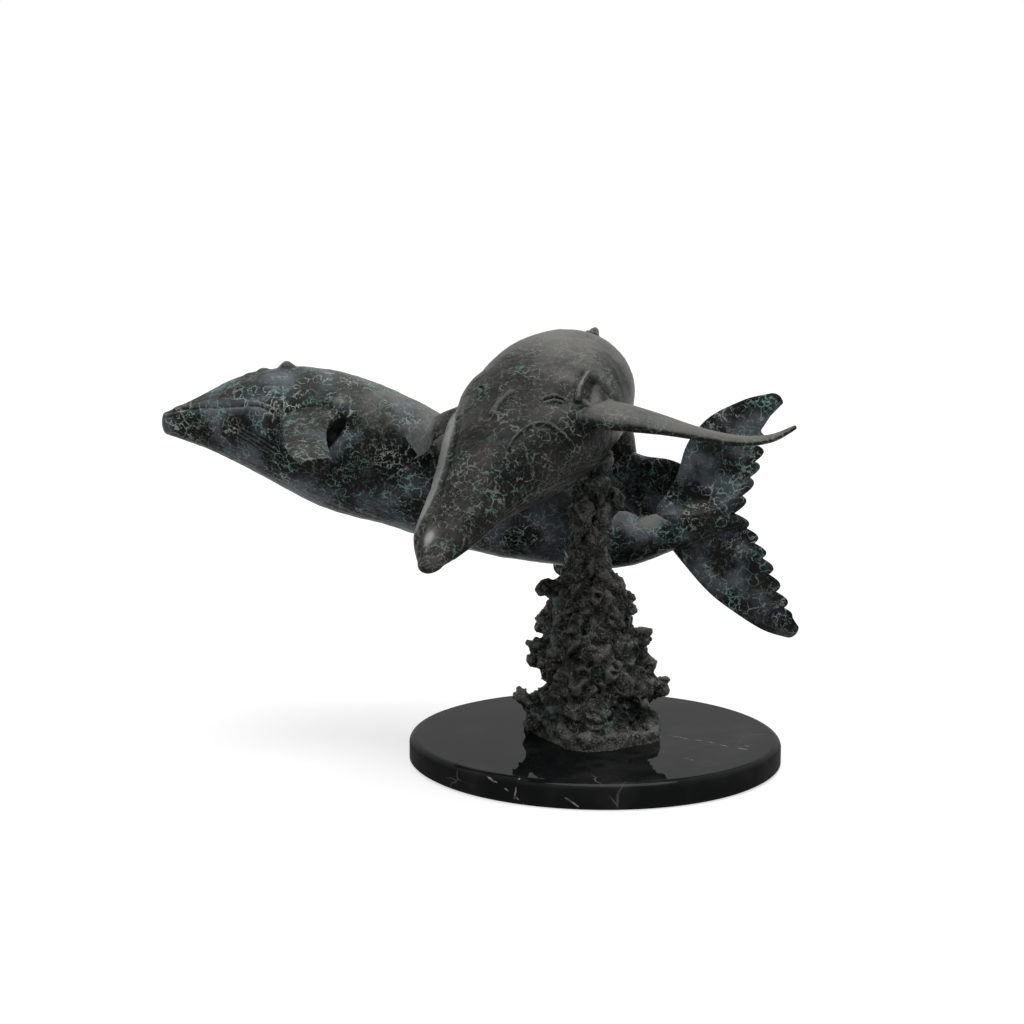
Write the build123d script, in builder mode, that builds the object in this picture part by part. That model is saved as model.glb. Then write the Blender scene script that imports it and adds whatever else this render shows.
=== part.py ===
"""Two cast bronze humpback whales on a coral pedestal, bolted to a round marble base.

Millimetres, +Z up. The origin is the centre of the felt face that the object stands on.
+X runs along the lower whale from its head to its flukes, and -Y faces the viewer.
Every height of the bronze is measured from the top of the marble slab.
"""

import os

from build123d import *

# Base slab and its felt
base_diameter = 305.0
base_thickness = 19.0
base_edge_radius = 6.0
base_lower_chamfer = 1.0
felt_inset = 3.5
felt_thickness = 1.5
felt_diameter = base_diameter - 2 * felt_inset

# Hexagon screws, washers and welded tabs that hold the bronze on the slab
screw_circle_radius = 26.0
screw_angles = (90.0, 210.0, 330.0)
screw_diameter = 8.0
screw_hole_clearance = 1.0
screw_hole_diameter = screw_diameter + screw_hole_clearance
screw_past_tab = 2.0
screw_chamfer = 1.0
head_across_flats = 13.0
head_height = 5.3
washer_diameter = 16.0
washer_clearance = 0.4
washer_bore = screw_diameter + washer_clearance
washer_thickness = 1.6
socket_wrench_clearance = 6.0
counterbore_diameter = washer_diameter + socket_wrench_clearance
counterbore_depth = 9.0
tab_width = 24.0
tab_thickness = 8.0
tab_inner_radius = 14.0

# Castings
bronze_wall = 5.0
nose_radius = 6.0
coral_wall = 8.0

# Levels that follow from the slab and the felt
slab_bottom = felt_thickness
slab_top = slab_bottom + base_thickness
washer_top = slab_bottom + counterbore_depth
head_top = washer_top - washer_thickness

# Whale stations from nose to tail: centre, dorsal direction, half width, height above and below
front_whale_stations = [
    ((-115, -184, 167), (-0.25, -0.55, 0.80), 12, 7, 7),
    ((-112, -172, 174), (-0.20, -0.50, 0.85), 18, 12, 11),
    ((-96, -140, 199), (-0.10, -0.45, 0.90), 28, 20, 21),
    ((-73, -98, 232), (-0.08, -0.40, 0.90), 47, 32, 43),
    ((-52, -52, 257), (-0.06, -0.35, 0.92), 60, 44, 57),
    ((-35, 0, 274), (-0.03, -0.20, 0.97), 62, 52, 59),
    ((-20, 45, 282), (0.12, 0.05, 0.99), 53, 48, 51),
    ((-8, 85, 277), (0.20, 0.35, 0.91), 35, 36, 36),
    ((8, 112, 254), (0.20, 0.75, 0.63), 22, 25, 23),
    ((20, 126, 225), (0.35, 0.85, 0.40), 15, 15, 14),
    ((27, 134, 193), (0.50, 0.80, 0.30), 14, 6, 6),
]
rear_whale_stations = [
    ((-364, 19, 252), (0, -0.10, 1.00), 8, 8, 8),
    ((-336, 26, 253), (0, -0.10, 1.00), 19, 18, 19),
    ((-296, 34, 254), (0, -0.10, 1.00), 38, 38, 38),
    ((-259, 40, 249), (0, -0.12, 1.00), 50, 52, 50),
    ((-213, 45, 235), (0, -0.20, 1.00), 56, 57, 57),
    ((-162, 48, 216), (0, -0.35, 0.94), 53, 54, 54),
    ((-98, 48, 187), (0, -0.55, 0.85), 43, 45, 45),
    ((-30, 45, 164), (0, -0.75, 0.66), 31, 34, 33),
    ((29, 40, 154), (0, -0.90, 0.45), 20, 23, 22),
    ((70, 38, 167), (0.05, -0.97, 0.25), 16, 14, 14),
    ((99, 38, 177), (0.05, -0.99, 0.20), 14, 6, 6),
]

# Weld seam between head and body castings: a point on it and the direction of the spine there
front_seam = ((-73, -98, 232), (0.45, 0.78, 0.42))
rear_seam = ((-277, 37, 252), (0.98, 0.15, -0.05))

# Blades from root to tip: centre, chord direction, half chord, half thickness
front_left_flipper_rows = [
    ((-35, -62, 270), (0, 1, 0.25), 26, 9),
    ((-7, -72, 268), (0, 1, 0.25), 26, 8.5),
    ((29, -76, 263), (0, 1, 0.20), 24, 7),
    ((70, -78, 254), (0, 1, 0), 21, 5),
    ((108, -78, 247), (0, 1, 0), 16, 4),
    ((135, -76, 250), (0, 1, 0), 10, 3),
    ((148, -74, 256), (0, 1, 0), 4, 2),
]
front_right_flipper_rows = [
    ((-72, -56, 264), (0.30, 0.75, 0.55), 24, 7.5),
    ((-100, -40, 265), (0.30, 0.75, 0.55), 24, 7),
    ((-125, -24, 255), (0.30, 0.80, 0.50), 22, 6),
    ((-145, -16, 242), (0.35, 0.60, 0.70), 17, 5),
    ((-151, -16, 232), (0.50, 0.50, 0.60), 10, 3),
]
rear_left_flipper_rows = [
    ((-234, 26, 266), (1, 0, 0.15), 25, 8.5),
    ((-232, 0, 263), (1, 0, 0.15), 25, 8),
    ((-229, -35, 255), (1, 0, 0.10), 22, 6),
    ((-223, -70, 245), (1, 0, 0.05), 19, 5),
    ((-215, -104, 235), (1, 0, 0), 15, 3),
]
rear_right_flipper_rows = [
    ((-234, 62, 256), (1, 0, 0.10), 25, 8.5),
    ((-232, 92, 254), (1, 0, 0.10), 25, 8),
    ((-228, 128, 248), (1, 0, 0.05), 22, 6),
    ((-221, 164, 240), (1, 0, 0), 18, 5),
    ((-212, 198, 232), (1, 0, 0), 14, 3),
]
front_dorsal_fin_rows = [
    ((-11, 56, 310), (0.20, 0.97, -0.10), 17, 7),
    ((-6, 66, 322), (0.20, 0.97, -0.20), 13, 5),
    ((-3, 76, 330), (0.20, 0.97, -0.30), 5, 2.5),
]
rear_dorsal_fin_rows = [
    ((-96, 28, 203), (0.95, 0, -0.30), 16, 7),
    ((-90, 18, 214), (0.95, 0, -0.30), 12, 5),
    ((-81, 11, 221), (0.95, 0, -0.30), 5, 2.5),
]

# Flukes: centre, direction along the tail, direction across it
front_fluke_frame = ((27, 136, 181), (0.36, 0.10, -0.93), (0.78, -0.55, 0.24))
rear_fluke_frame = ((103, 38, 178), (0.998, 0, 0.069), (-0.069, 0, 0.998))

# Fluke outlines: distance along the tail and across it, to one side and to the other
fluke_near_edge = [(-52, 9), (-34, 34), (-25, 58), (-13, 74), (4, 85), (21, 92), (46, 96)]
fluke_near_roots = [(57, 90), (49, 79), (42, 68), (37, 55), (33, 42), (28, 29), (21, 14), (14, 0)]
fluke_far_edge = [(-52, 9), (-44, 23), (-28, 46), (-7, 72), (9, 86), (25, 97), (48, 106)]
fluke_far_roots = [(58, 100), (51, 84), (45, 68), (40, 53), (35, 39), (29, 26), (23, 13), (14, 0)]
fluke_tooth_height = 2.6
fluke_tip_back = 1.5
fluke_tip_reach = 2.0
fluke_cutter_height = 20.0
fluke_blank_rows = [(0, -12, 52, 6.0), (35, -1, 48, 4.6), (70, 20, 42, 3.4), (106, 50, 36, 2.3)]

# Plinth of the coral: corners on the slab, from the left round the front
plinth_corners = [
    (-60, 11), (-21, -58), (-5, -66), (13, -59), (53, -28),
    (55, -8), (48, 34), (18, 54), (-26, 52), (-54, 36),
]
plinth_height = 12.0

# Coral core ellipses from the foot up: height, centre, half width, half depth
coral_rows = [
    (0, -2, -2, 46, 50),
    (14, -2, -1, 49, 50),
    (30, 1, 0, 47, 48),
    (46, 2, 0, 44, 46),
    (62, -1, 1, 42, 45),
    (80, -4, 3, 40, 43),
    (95, -7, 5, 37, 42),
    (110, -6, 8, 35, 42),
    (124, -6, 8, 29, 40),
    (138, -6, 3, 22, 34),
    (152, -6, -4, 19, 28),
    (168, -6, -8, 18, 24),
    (184, -6, -9, 18, 22),
    (201, -6, -10, 18, 21),
    (218, -7, -10, 20, 21),
    (236, -8, -10, 22, 22),
]
coral_cavity_levels = 8
tab_outer_radius = coral_rows[0][4]

# Coral fingers: root, tip, radius at the root and at the tip
coral_fingers = [
    ((-22, -6, 124), (-41, -8, 118), 11, 6.5),
    ((-34, -8, 73), (-52, -10, 74), 11, 4.5),
    ((-44, -10, 16), (-60, -10, 33), 12, 5.5),
    ((36, -8, 40), (51, -8, 42), 12, 9),
    ((28, -8, 82), (42, -8, 82), 9, 5.5),
]

# Coral knobs: centre and radius
coral_knobs = [
    ((-38, -6, 91), 11.5), ((-44, -6, 62), 10.5), ((-40, -4, 49), 7), ((-50, -8, 9), 10),
    ((43, -2, 56), 8), ((38, 0, 68), 8), ((26, -6, 104), 9.5), ((16, -6, 122), 9),
    ((13, -4, 131), 8), ((45, -6, 10), 10), ((11, -4, 192), 13), ((-14, -16, 152), 12), ((2, -22, 138), 12),
]

# Coral boulders wind up the core: turn and rise from one to the next, radii in turn and how far they stand out
boulder_count = 24
boulder_turn = 137.5
boulder_start = 10.0
boulder_rise = 4.7
boulder_radii = (12, 14, 10, 13, 11)
boulder_stand = 5.0


def above_slab(point):
    """Return a point given from the top of the slab as a vector in the part's frame."""
    return Vector(*point) + Vector(0, 0, slab_top)


def spine_direction(points, index):
    """Return the direction of a chain of points at one of them."""
    before = points[max(index - 1, 0)]
    after = points[min(index + 1, len(points) - 1)]
    return (after - before).normalized()


def oval_loft(sections):
    """Return the solid through ovals, each a plane, a half width and the heights above and below it."""
    with BuildPart() as solid:
        for plane, half_width, above, below in sections:
            with BuildSketch(plane):
                with BuildLine():
                    EllipticalCenterArc((0, 0), half_width, above, 0, arc_size=180)
                    EllipticalCenterArc((0, 0), half_width, below, 180, arc_size=180)
                make_face()
        loft()
    return solid.part


def whale_skin(stations, inset):
    """Return the solid inside a whale's skin, drawn in by the inset."""
    centres = [above_slab(station[0]) for station in stations]
    sections = []
    for index, (_, dorsal, half_width, above, below) in enumerate(stations):
        along = spine_direction(centres, index)
        across = Vector(*dorsal).cross(along)
        plane = Plane(origin=centres[index], x_dir=across, z_dir=along)
        sections.append((plane, half_width - inset, above - inset, below - inset))
    if inset > 0:
        return oval_loft(sections[1:-1])
    with BuildPart() as skin:
        add(oval_loft(sections))
        fillet(skin.edges().sort_by_distance(centres[0])[:2], nose_radius)
    return skin.part


def blade(rows):
    """Return a flipper or fin through its oval sections."""
    centres = [above_slab(row[0]) for row in rows]
    sections = []
    for index, (_, chord, half_chord, half_thickness) in enumerate(rows):
        along = spine_direction(centres, index)
        across = Vector(*chord) - along * along.dot(Vector(*chord))
        plane = Plane(origin=centres[index], x_dir=across, z_dir=along)
        sections.append((plane, half_chord, half_thickness, half_thickness))
    return oval_loft(sections)


def fluke_pair(fluke_frame):
    """Return both lobes of a tail as one plate with toothed trailing edges."""
    centre, along, across = fluke_frame
    plate_plane = Plane(
        origin=above_slab(centre), x_dir=along, z_dir=Vector(*along).cross(Vector(*across))
    )
    lobes = [(1, fluke_near_edge, fluke_near_roots), (-1, fluke_far_edge, fluke_far_roots)]
    lower_rows = [(-span, middle, chord, thick) for span, middle, chord, thick in fluke_blank_rows[:0:-1]]
    with BuildPart() as solid:
        for span, middle, half_chord, half_thickness in lower_rows + fluke_blank_rows:
            section = Plane(
                origin=plate_plane.from_local_coords(Vector(middle, span, 0)),
                x_dir=plate_plane.x_dir,
                z_dir=plate_plane.y_dir,
            )
            with BuildSketch(section):
                Ellipse(half_chord, half_thickness)
        loft()
        with BuildSketch(plate_plane):
            with BuildLine():
                for side, edge, tooth_roots in lobes:
                    leading = [(along_tail, side * span) for along_tail, span in edge]
                    roots = [(along_tail, side * span) for along_tail, span in tooth_roots]
                    tip_span = (leading[-1][1] + roots[0][1]) / 2 + side * fluke_tip_reach
                    tip = (roots[0][0] - fluke_tip_back, tip_span)
                    Spline(*leading)
                    ThreePointArc(leading[-1], tip, roots[0])
                    for start, end in zip(roots[:-1], roots[1:]):
                        middle = (Vector(*start) + Vector(*end)) / 2
                        outward = Vector(end[1] - start[1], start[0] - end[0]).normalized()
                        bulge = middle - outward * side * fluke_tooth_height
                        ThreePointArc(start, (bulge.X, bulge.Y), end)
                start_along, start_span = fluke_near_edge[0]
                Line((start_along, start_span), (start_along, -start_span))
            make_face()
        extrude(amount=fluke_cutter_height, both=True, mode=Mode.INTERSECT)
    return solid.part


def coral_boulder(index):
    """Return the centre and the radius of a boulder on the coral core."""
    height = boulder_start + index * boulder_rise
    radius = boulder_radii[index % len(boulder_radii)]
    upper = next(number for number, row in enumerate(coral_rows) if row[0] > height)
    low_row = coral_rows[upper - 1]
    high_row = coral_rows[upper]
    share = (height - low_row[0]) / (high_row[0] - low_row[0])
    _, middle_x, middle_y, half_width, half_depth = [a + (b - a) * share for a, b in zip(low_row, high_row)]
    spoke = Vector(1, 0).rotate(Axis.Z, index * boulder_turn)
    sunk = radius - boulder_stand
    return (middle_x + (half_width - sunk) * spoke.X, middle_y + (half_depth - sunk) * spoke.Y, height), radius


def seam_plane(seam):
    """Return the plane of a weld seam, facing the tail."""
    return Plane(origin=above_slab(seam[0]), z_dir=seam[1])


# Solid forms that cut their neighbours
front_skin = whale_skin(front_whale_stations, 0)
front_core = whale_skin(front_whale_stations, bronze_wall)
rear_skin = whale_skin(rear_whale_stations, 0)
rear_core = whale_skin(rear_whale_stations, bronze_wall)

with BuildPart() as coral_core:
    for height, centre_x, centre_y, half_width, half_depth in coral_rows[:coral_cavity_levels]:
        core_plane = Plane(above_slab((centre_x, centre_y, height)))
        with BuildSketch(core_plane):
            Ellipse(half_width - coral_wall, half_depth - coral_wall)
    loft()

# Felt under the slab
with BuildPart() as felt_pad:
    Cylinder(felt_diameter / 2, felt_thickness, align=(Align.CENTER, Align.CENTER, Align.MIN))
felt_pad.part.label = "felt_pad"

# Marble slab, drilled and counterbored from below
with BuildPart() as marble_base:
    with BuildSketch(Plane.XY.offset(slab_bottom)):
        Circle(base_diameter / 2)
    extrude(amount=base_thickness)
    fillet(marble_base.edges().filter_by(GeomType.CIRCLE).sort_by(Axis.Z)[-1], base_edge_radius)
    chamfer(marble_base.edges().filter_by(GeomType.CIRCLE).sort_by(Axis.Z)[0], base_lower_chamfer)
    for angle in screw_angles:
        with Locations(Plane.XY.offset(slab_bottom).rotated((180, 0, 0))):
            with PolarLocations(screw_circle_radius, 1, start_angle=-angle):
                CounterBoreHole(screw_hole_diameter / 2, counterbore_diameter / 2, counterbore_depth)
marble_base.part.label = "marble_base"

# Coral pedestal, hollow, with saddles for both whales
with BuildPart() as coral_lumps:
    for centre, radius in coral_knobs + [coral_boulder(index) for index in range(boulder_count)]:
        with Locations(above_slab(centre)):
            Sphere(radius)
    for root, tip, root_radius, tip_radius in coral_fingers:
        finger = above_slab(tip) - above_slab(root)
        with Locations(Plane(origin=above_slab(root), z_dir=finger)):
            Cone(root_radius, tip_radius, finger.length, align=(Align.CENTER, Align.CENTER, Align.MIN))
        with Locations(above_slab(tip)):
            Sphere(tip_radius)
    with BuildSketch(Plane.XY.offset(slab_top)):
        Polygon(*plinth_corners, align=None)
    extrude(amount=plinth_height)
    split(bisect_by=Plane.XY.offset(slab_top), keep=Keep.TOP)
    add(front_skin, mode=Mode.SUBTRACT)
    add(rear_skin, mode=Mode.SUBTRACT)

with BuildPart() as coral_pedestal:
    for height, centre_x, centre_y, half_width, half_depth in coral_rows:
        with BuildSketch(Plane(above_slab((centre_x, centre_y, height)))):
            Ellipse(half_width, half_depth)
    loft()
    add(front_skin, mode=Mode.SUBTRACT)
    add(rear_skin, mode=Mode.SUBTRACT)
    add(coral_lumps.part)
    add(coral_core.part, mode=Mode.SUBTRACT)
coral_pedestal.part.label = "coral_pedestal"

pieces = [felt_pad, marble_base, coral_pedestal]

# Washers, screws and the tabs welded inside the coral foot
for number, angle in enumerate(screw_angles, start=1):
    with BuildPart() as base_washer:
        with BuildSketch(Plane.XY.offset(head_top)):
            with PolarLocations(screw_circle_radius, 1, start_angle=angle):
                Circle(washer_diameter / 2)
                Circle(washer_bore / 2, mode=Mode.SUBTRACT)
        extrude(amount=washer_thickness)
    base_washer.part.label = f"base_washer_{number}"

    with BuildPart() as base_screw:
        with BuildSketch(Plane.XY.offset(head_top)):
            with PolarLocations(screw_circle_radius, 1, start_angle=angle):
                RegularPolygon(head_across_flats / 2, 6, major_radius=False)
        extrude(amount=-head_height)
        with BuildSketch(Plane.XY.offset(head_top)):
            with PolarLocations(screw_circle_radius, 1, start_angle=angle):
                Circle(screw_diameter / 2)
        extrude(amount=slab_top + tab_thickness + screw_past_tab - head_top)
        chamfer(base_screw.edges().filter_by(GeomType.CIRCLE).sort_by(Axis.Z)[-1], screw_chamfer)
    base_screw.part.label = f"base_screw_{number}"

    with BuildPart() as foot_tab:
        with BuildSketch(Plane.XY.offset(slab_top)):
            with PolarLocations((tab_inner_radius + tab_outer_radius) / 2, 1, start_angle=angle):
                Rectangle(tab_outer_radius - tab_inner_radius, tab_width)
            with PolarLocations(screw_circle_radius, 1, start_angle=angle):
                Circle(screw_diameter / 2, mode=Mode.SUBTRACT)
        extrude(amount=tab_thickness)
        add(coral_core.part, mode=Mode.INTERSECT)
    foot_tab.part.label = f"foot_tab_{number}"

    pieces += [base_washer, base_screw, foot_tab]

# Front whale
with BuildPart() as front_head:
    add(front_skin)
    add(front_core, mode=Mode.SUBTRACT)
    split(bisect_by=seam_plane(front_seam), keep=Keep.BOTTOM)
front_head.part.label = "front_whale_head"

with BuildPart() as front_body:
    add(front_skin)
    add(front_core, mode=Mode.SUBTRACT)
    split(bisect_by=seam_plane(front_seam), keep=Keep.TOP)
front_body.part.label = "front_whale_body"

with BuildPart() as front_flukes:
    add(fluke_pair(front_fluke_frame))
    add(front_skin, mode=Mode.SUBTRACT)
front_flukes.part.label = "front_whale_flukes"

with BuildPart() as front_left_flipper:
    add(blade(front_left_flipper_rows))
    add(front_skin, mode=Mode.SUBTRACT)
front_left_flipper.part.label = "front_whale_left_flipper"

with BuildPart() as front_right_flipper:
    add(blade(front_right_flipper_rows))
    add(front_skin, mode=Mode.SUBTRACT)
front_right_flipper.part.label = "front_whale_right_flipper"

with BuildPart() as front_dorsal_fin:
    add(blade(front_dorsal_fin_rows))
    add(front_skin, mode=Mode.SUBTRACT)
front_dorsal_fin.part.label = "front_whale_dorsal_fin"

# Rear whale
with BuildPart() as rear_head:
    add(rear_skin)
    add(rear_core, mode=Mode.SUBTRACT)
    split(bisect_by=seam_plane(rear_seam), keep=Keep.BOTTOM)
rear_head.part.label = "rear_whale_head"

with BuildPart() as rear_body:
    add(rear_skin)
    add(rear_core, mode=Mode.SUBTRACT)
    split(bisect_by=seam_plane(rear_seam), keep=Keep.TOP)
rear_body.part.label = "rear_whale_body"

with BuildPart() as rear_flukes:
    add(fluke_pair(rear_fluke_frame))
    add(rear_skin, mode=Mode.SUBTRACT)
rear_flukes.part.label = "rear_whale_flukes"

with BuildPart() as rear_left_flipper:
    add(blade(rear_left_flipper_rows))
    add(rear_skin, mode=Mode.SUBTRACT)
rear_left_flipper.part.label = "rear_whale_left_flipper"

with BuildPart() as rear_right_flipper:
    add(blade(rear_right_flipper_rows))
    add(rear_skin, mode=Mode.SUBTRACT)
rear_right_flipper.part.label = "rear_whale_right_flipper"

with BuildPart() as rear_dorsal_fin:
    add(blade(rear_dorsal_fin_rows))
    add(rear_skin, mode=Mode.SUBTRACT)
rear_dorsal_fin.part.label = "rear_whale_dorsal_fin"

pieces += [front_head, front_body, front_flukes, front_left_flipper, front_right_flipper, front_dorsal_fin]
pieces += [rear_head, rear_body, rear_flukes, rear_left_flipper, rear_right_flipper, rear_dorsal_fin]

os.makedirs("parts", exist_ok=True)
for piece in pieces:
    export_step(piece.part, f"parts/{piece.part.label}.step")
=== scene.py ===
"""Looks of a bronze table sculpture: two humpback whales on a coral pedestal and a black marble slab.

Shapes are worked out in millimetres and written to meshes in metres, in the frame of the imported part.
Heights of the bronze are measured from the top of the marble slab, as in the part's source.
"""

import itertools
import logging
import math
from dataclasses import dataclass, field
from enum import Enum

import bmesh
import bpy
import numpy as np
from mathutils import Matrix, Vector


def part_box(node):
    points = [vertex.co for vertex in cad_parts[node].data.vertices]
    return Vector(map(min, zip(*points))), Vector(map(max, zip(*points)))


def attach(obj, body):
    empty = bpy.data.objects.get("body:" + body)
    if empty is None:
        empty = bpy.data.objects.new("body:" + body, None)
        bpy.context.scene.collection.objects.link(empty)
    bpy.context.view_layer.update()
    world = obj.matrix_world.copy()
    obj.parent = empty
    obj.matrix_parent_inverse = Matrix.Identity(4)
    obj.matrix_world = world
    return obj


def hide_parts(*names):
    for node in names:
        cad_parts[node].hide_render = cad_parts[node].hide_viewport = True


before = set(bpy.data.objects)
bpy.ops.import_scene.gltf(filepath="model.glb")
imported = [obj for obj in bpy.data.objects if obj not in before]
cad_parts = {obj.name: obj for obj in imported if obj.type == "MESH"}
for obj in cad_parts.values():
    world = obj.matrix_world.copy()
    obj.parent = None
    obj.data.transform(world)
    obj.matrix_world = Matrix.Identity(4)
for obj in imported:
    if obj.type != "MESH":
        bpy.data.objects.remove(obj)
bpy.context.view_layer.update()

MM = 0.001
log = logging.getLogger("whale_figurine")

Array = np.ndarray
Point = tuple[float, float, float]
Colour = tuple[float, float, float]
Rows = list[tuple[float, ...]]


class Side(Enum):
    """The two flanks of a whale, as signs of the angle from the midline of its back."""

    LEFT = 1
    RIGHT = -1


LEFT_ONLY = (Side.LEFT,)
RIGHT_ONLY = (Side.RIGHT,)
BOTH_SIDES = (Side.LEFT, Side.RIGHT)


def unit(vectors: Array) -> Array:
    """Return vectors scaled to a length of one."""
    return vectors / np.maximum(np.linalg.norm(vectors, axis=-1, keepdims=True), 1e-9)


def smooth_step(values: Array, low: float, high: float) -> Array:
    """Return values eased from 0 at low to 1 at high."""
    part = np.clip((np.asarray(values, float) - low) / (high - low), 0.0, 1.0)
    return part * part * (3.0 - 2.0 * part)


class NaturalSpline:
    """A natural cubic spline through rows of numbers at rising knots."""

    def __init__(self, knots: Array, rows: Array) -> None:
        """Solve the spline.

        Args:
            knots: Rising positions of the rows.
            rows: One row of numbers for each knot.
        """
        self.knots = np.asarray(knots, float)
        self.rows = np.asarray(rows, float).reshape(len(self.knots), -1)
        gaps = np.diff(self.knots)
        count = len(self.knots)
        system = np.eye(count)
        target = np.zeros_like(self.rows)
        slopes = np.diff(self.rows, axis=0) / gaps[:, None]
        for i in range(1, count - 1):
            system[i, i - 1 : i + 2] = gaps[i - 1], 2 * (gaps[i - 1] + gaps[i]), gaps[i]
            target[i] = 6 * (slopes[i] - slopes[i - 1])
        self.bends = np.linalg.solve(system, target)

    def __call__(self, where: Array) -> Array:
        """Return the row of numbers at each position."""
        where = np.asarray(where, float)
        low = np.clip(np.searchsorted(self.knots, where) - 1, 0, len(self.knots) - 2)
        gap = (self.knots[low + 1] - self.knots[low])[..., None]
        far = (where - self.knots[low])[..., None] / gap
        near = 1.0 - far
        curve = (near**3 - near) * self.bends[low] + (far**3 - far) * self.bends[low + 1]
        return near * self.rows[low] + far * self.rows[low + 1] + curve * gap**2 / 6


def chain_lengths(points: Array) -> Array:
    """Return the running length along a chain of points, starting at zero."""
    steps = np.linalg.norm(np.diff(points, axis=0), axis=1)
    return np.concatenate([[0.0], np.cumsum(steps)])


class SpaceNoise:
    """Smooth seeded noise in space, from -1 to 1."""

    def __init__(self, seed: int, cell: float) -> None:
        """Draw the table of values.

        Args:
            seed: Seed of the table.
            cell: Size of a lattice cell in millimetres.
        """
        self.table = np.random.default_rng(seed).uniform(-1.0, 1.0, 4096)
        self.cell = cell

    def __call__(self, points: Array) -> Array:
        """Return the noise at each point."""
        scaled = points / self.cell
        low = np.floor(scaled).astype(np.int64)
        part = scaled - low
        part = part * part * (3.0 - 2.0 * part)
        total = np.zeros(points.shape[:-1])
        for corner in itertools.product((0, 1), repeat=3):
            node = low + np.array(corner)
            mixed = node[..., 0] * 73856093 ^ node[..., 1] * 19349663 ^ node[..., 2] * 83492791
            weight = np.prod(np.where(np.array(corner) == 1, part, 1.0 - part), axis=-1)
            total += weight * self.table[mixed & 4095]
        return total


class Value:
    """A node socket that takes part in arithmetic."""

    def __init__(self, graph: "Graph", socket: bpy.types.NodeSocket) -> None:
        """Hold a socket and the graph that it belongs to."""
        self.graph = graph
        self.socket = socket

    def _with(self, operation: str, other: "Value | float", swapped: bool = False) -> "Value":
        """Return a maths node on this socket and another value."""
        pair = {0: other, 1: self} if swapped else {0: self, 1: other}
        return self.graph.node("ShaderNodeMath", {"operation": operation}, pair)

    def __add__(self, other: "Value | float") -> "Value":
        """Return the sum."""
        return self._with("ADD", other)

    def __radd__(self, other: float) -> "Value":
        """Return the sum."""
        return self._with("ADD", other, True)

    def __sub__(self, other: "Value | float") -> "Value":
        """Return the difference."""
        return self._with("SUBTRACT", other)

    def __rsub__(self, other: float) -> "Value":
        """Return the difference, the other way round."""
        return self._with("SUBTRACT", other, True)

    def __mul__(self, other: "Value | float") -> "Value":
        """Return the product."""
        return self._with("MULTIPLY", other)

    def __rmul__(self, other: float) -> "Value":
        """Return the product."""
        return self._with("MULTIPLY", other, True)

    def __truediv__(self, other: "Value | float") -> "Value":
        """Return the quotient."""
        return self._with("DIVIDE", other)

    def most(self, other: "Value | float") -> "Value":
        """Return the larger of the two."""
        return self._with("MAXIMUM", other)

    def least(self, other: "Value | float") -> "Value":
        """Return the smaller of the two."""
        return self._with("MINIMUM", other)

    def size(self) -> "Value":
        """Return the value without its sign."""
        return self._with("ABSOLUTE", 0.0)

    def step(self, low: float, high: float) -> "Value":
        """Return the value eased from 0 at low to 1 at high, or the other way if low is above high."""
        rising = low < high
        first, last = (low, high) if rising else (high, low)
        ends = {3: 0.0, 4: 1.0} if rising else {3: 1.0, 4: 0.0}
        return self.graph.node(
            "ShaderNodeMapRange", {"interpolation_type": "SMOOTHSTEP"}, {0: self, 1: first, 2: last, **ends}
        )


class Graph:
    """A node tree that is written with plain calls."""

    def __init__(self, tree: bpy.types.NodeTree) -> None:
        """Hold the tree."""
        self.tree = tree

    def node(self, kind: str, settings: dict, inputs: dict, output: int | str = 0) -> Value:
        """Add a node.

        Args:
            kind: The node's type.
            settings: Its properties, which are set first.
            inputs: Values or links of its sockets, by number or name.
            output: The output socket that is returned.

        Returns:
            The chosen output as a value.
        """
        made = self.tree.nodes.new(kind)
        for name, setting in settings.items():
            setattr(made, name, setting)
        for key, given in inputs.items():
            socket = made.inputs[key]
            if isinstance(given, Value):
                self.tree.links.new(given.socket, socket)
            elif socket.type == "RGBA" and len(given) == 3:
                socket.default_value = (*given, 1.0)
            else:
                socket.default_value = given
        return Value(self, made.outputs[output] if len(made.outputs) else None)

    def mix(self, factor: Value | float, first: Value | Colour, second: Value | Colour) -> Value:
        """Return a colour between two others."""
        return self.node("ShaderNodeMix", {"data_type": "RGBA"}, {0: factor, 6: first, 7: second}, 2)

    def vector(self, operation: str, first: Value | Point, second: Value | Point) -> Value:
        """Return a vector sum, difference, product or the like."""
        return self.node("ShaderNodeVectorMath", {"operation": operation}, {0: first, 1: second})

    def noise(self, place: Value, scale: float, detail: float = 2.0, output: int | str = 0) -> Value:
        """Return cloud noise from 0 to 1."""
        inputs = {"Vector": place, "Scale": scale, "Detail": detail}
        return self.node("ShaderNodeTexNoise", {}, inputs, output)

    def cells(self, place: Value, scale: float, feature: str) -> Value:
        """Return a measure of a cell pattern."""
        inputs = {"Vector": place, "Scale": scale}
        return self.node("ShaderNodeTexVoronoi", {"feature": feature}, inputs)

    def scaled(self, vector: Value | Point, amount: Value) -> Value:
        """Return a vector times a number."""
        return self.node("ShaderNodeVectorMath", {"operation": "SCALE"}, {0: vector, "Scale": amount})

    def measure(self, operation: str, *vectors: Value | Point) -> Value:
        """Return a number worked out from vectors, such as a dot product or a length."""
        return self.node("ShaderNodeVectorMath", {"operation": operation}, dict(enumerate(vectors)), 1)

    def warped(self, place: Value, scale: float, amount: float) -> Value:
        """Return a place pushed about by cloud noise."""
        push = self.vector("SUBTRACT", self.noise(place, scale, 3.0, 1), (0.5, 0.5, 0.5))
        return self.vector("ADD", place, self.vector("MULTIPLY", push, (amount, amount, amount)))


def new_material(name: str) -> tuple[bpy.types.Material, Graph, bpy.types.ShaderNodeBsdfPrincipled]:
    """Return an empty material, its graph and its surface shader."""
    material = bpy.data.materials.new(name)
    material.use_nodes = True
    graph = Graph(material.node_tree)
    return material, graph, material.node_tree.nodes["Principled BSDF"]


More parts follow.
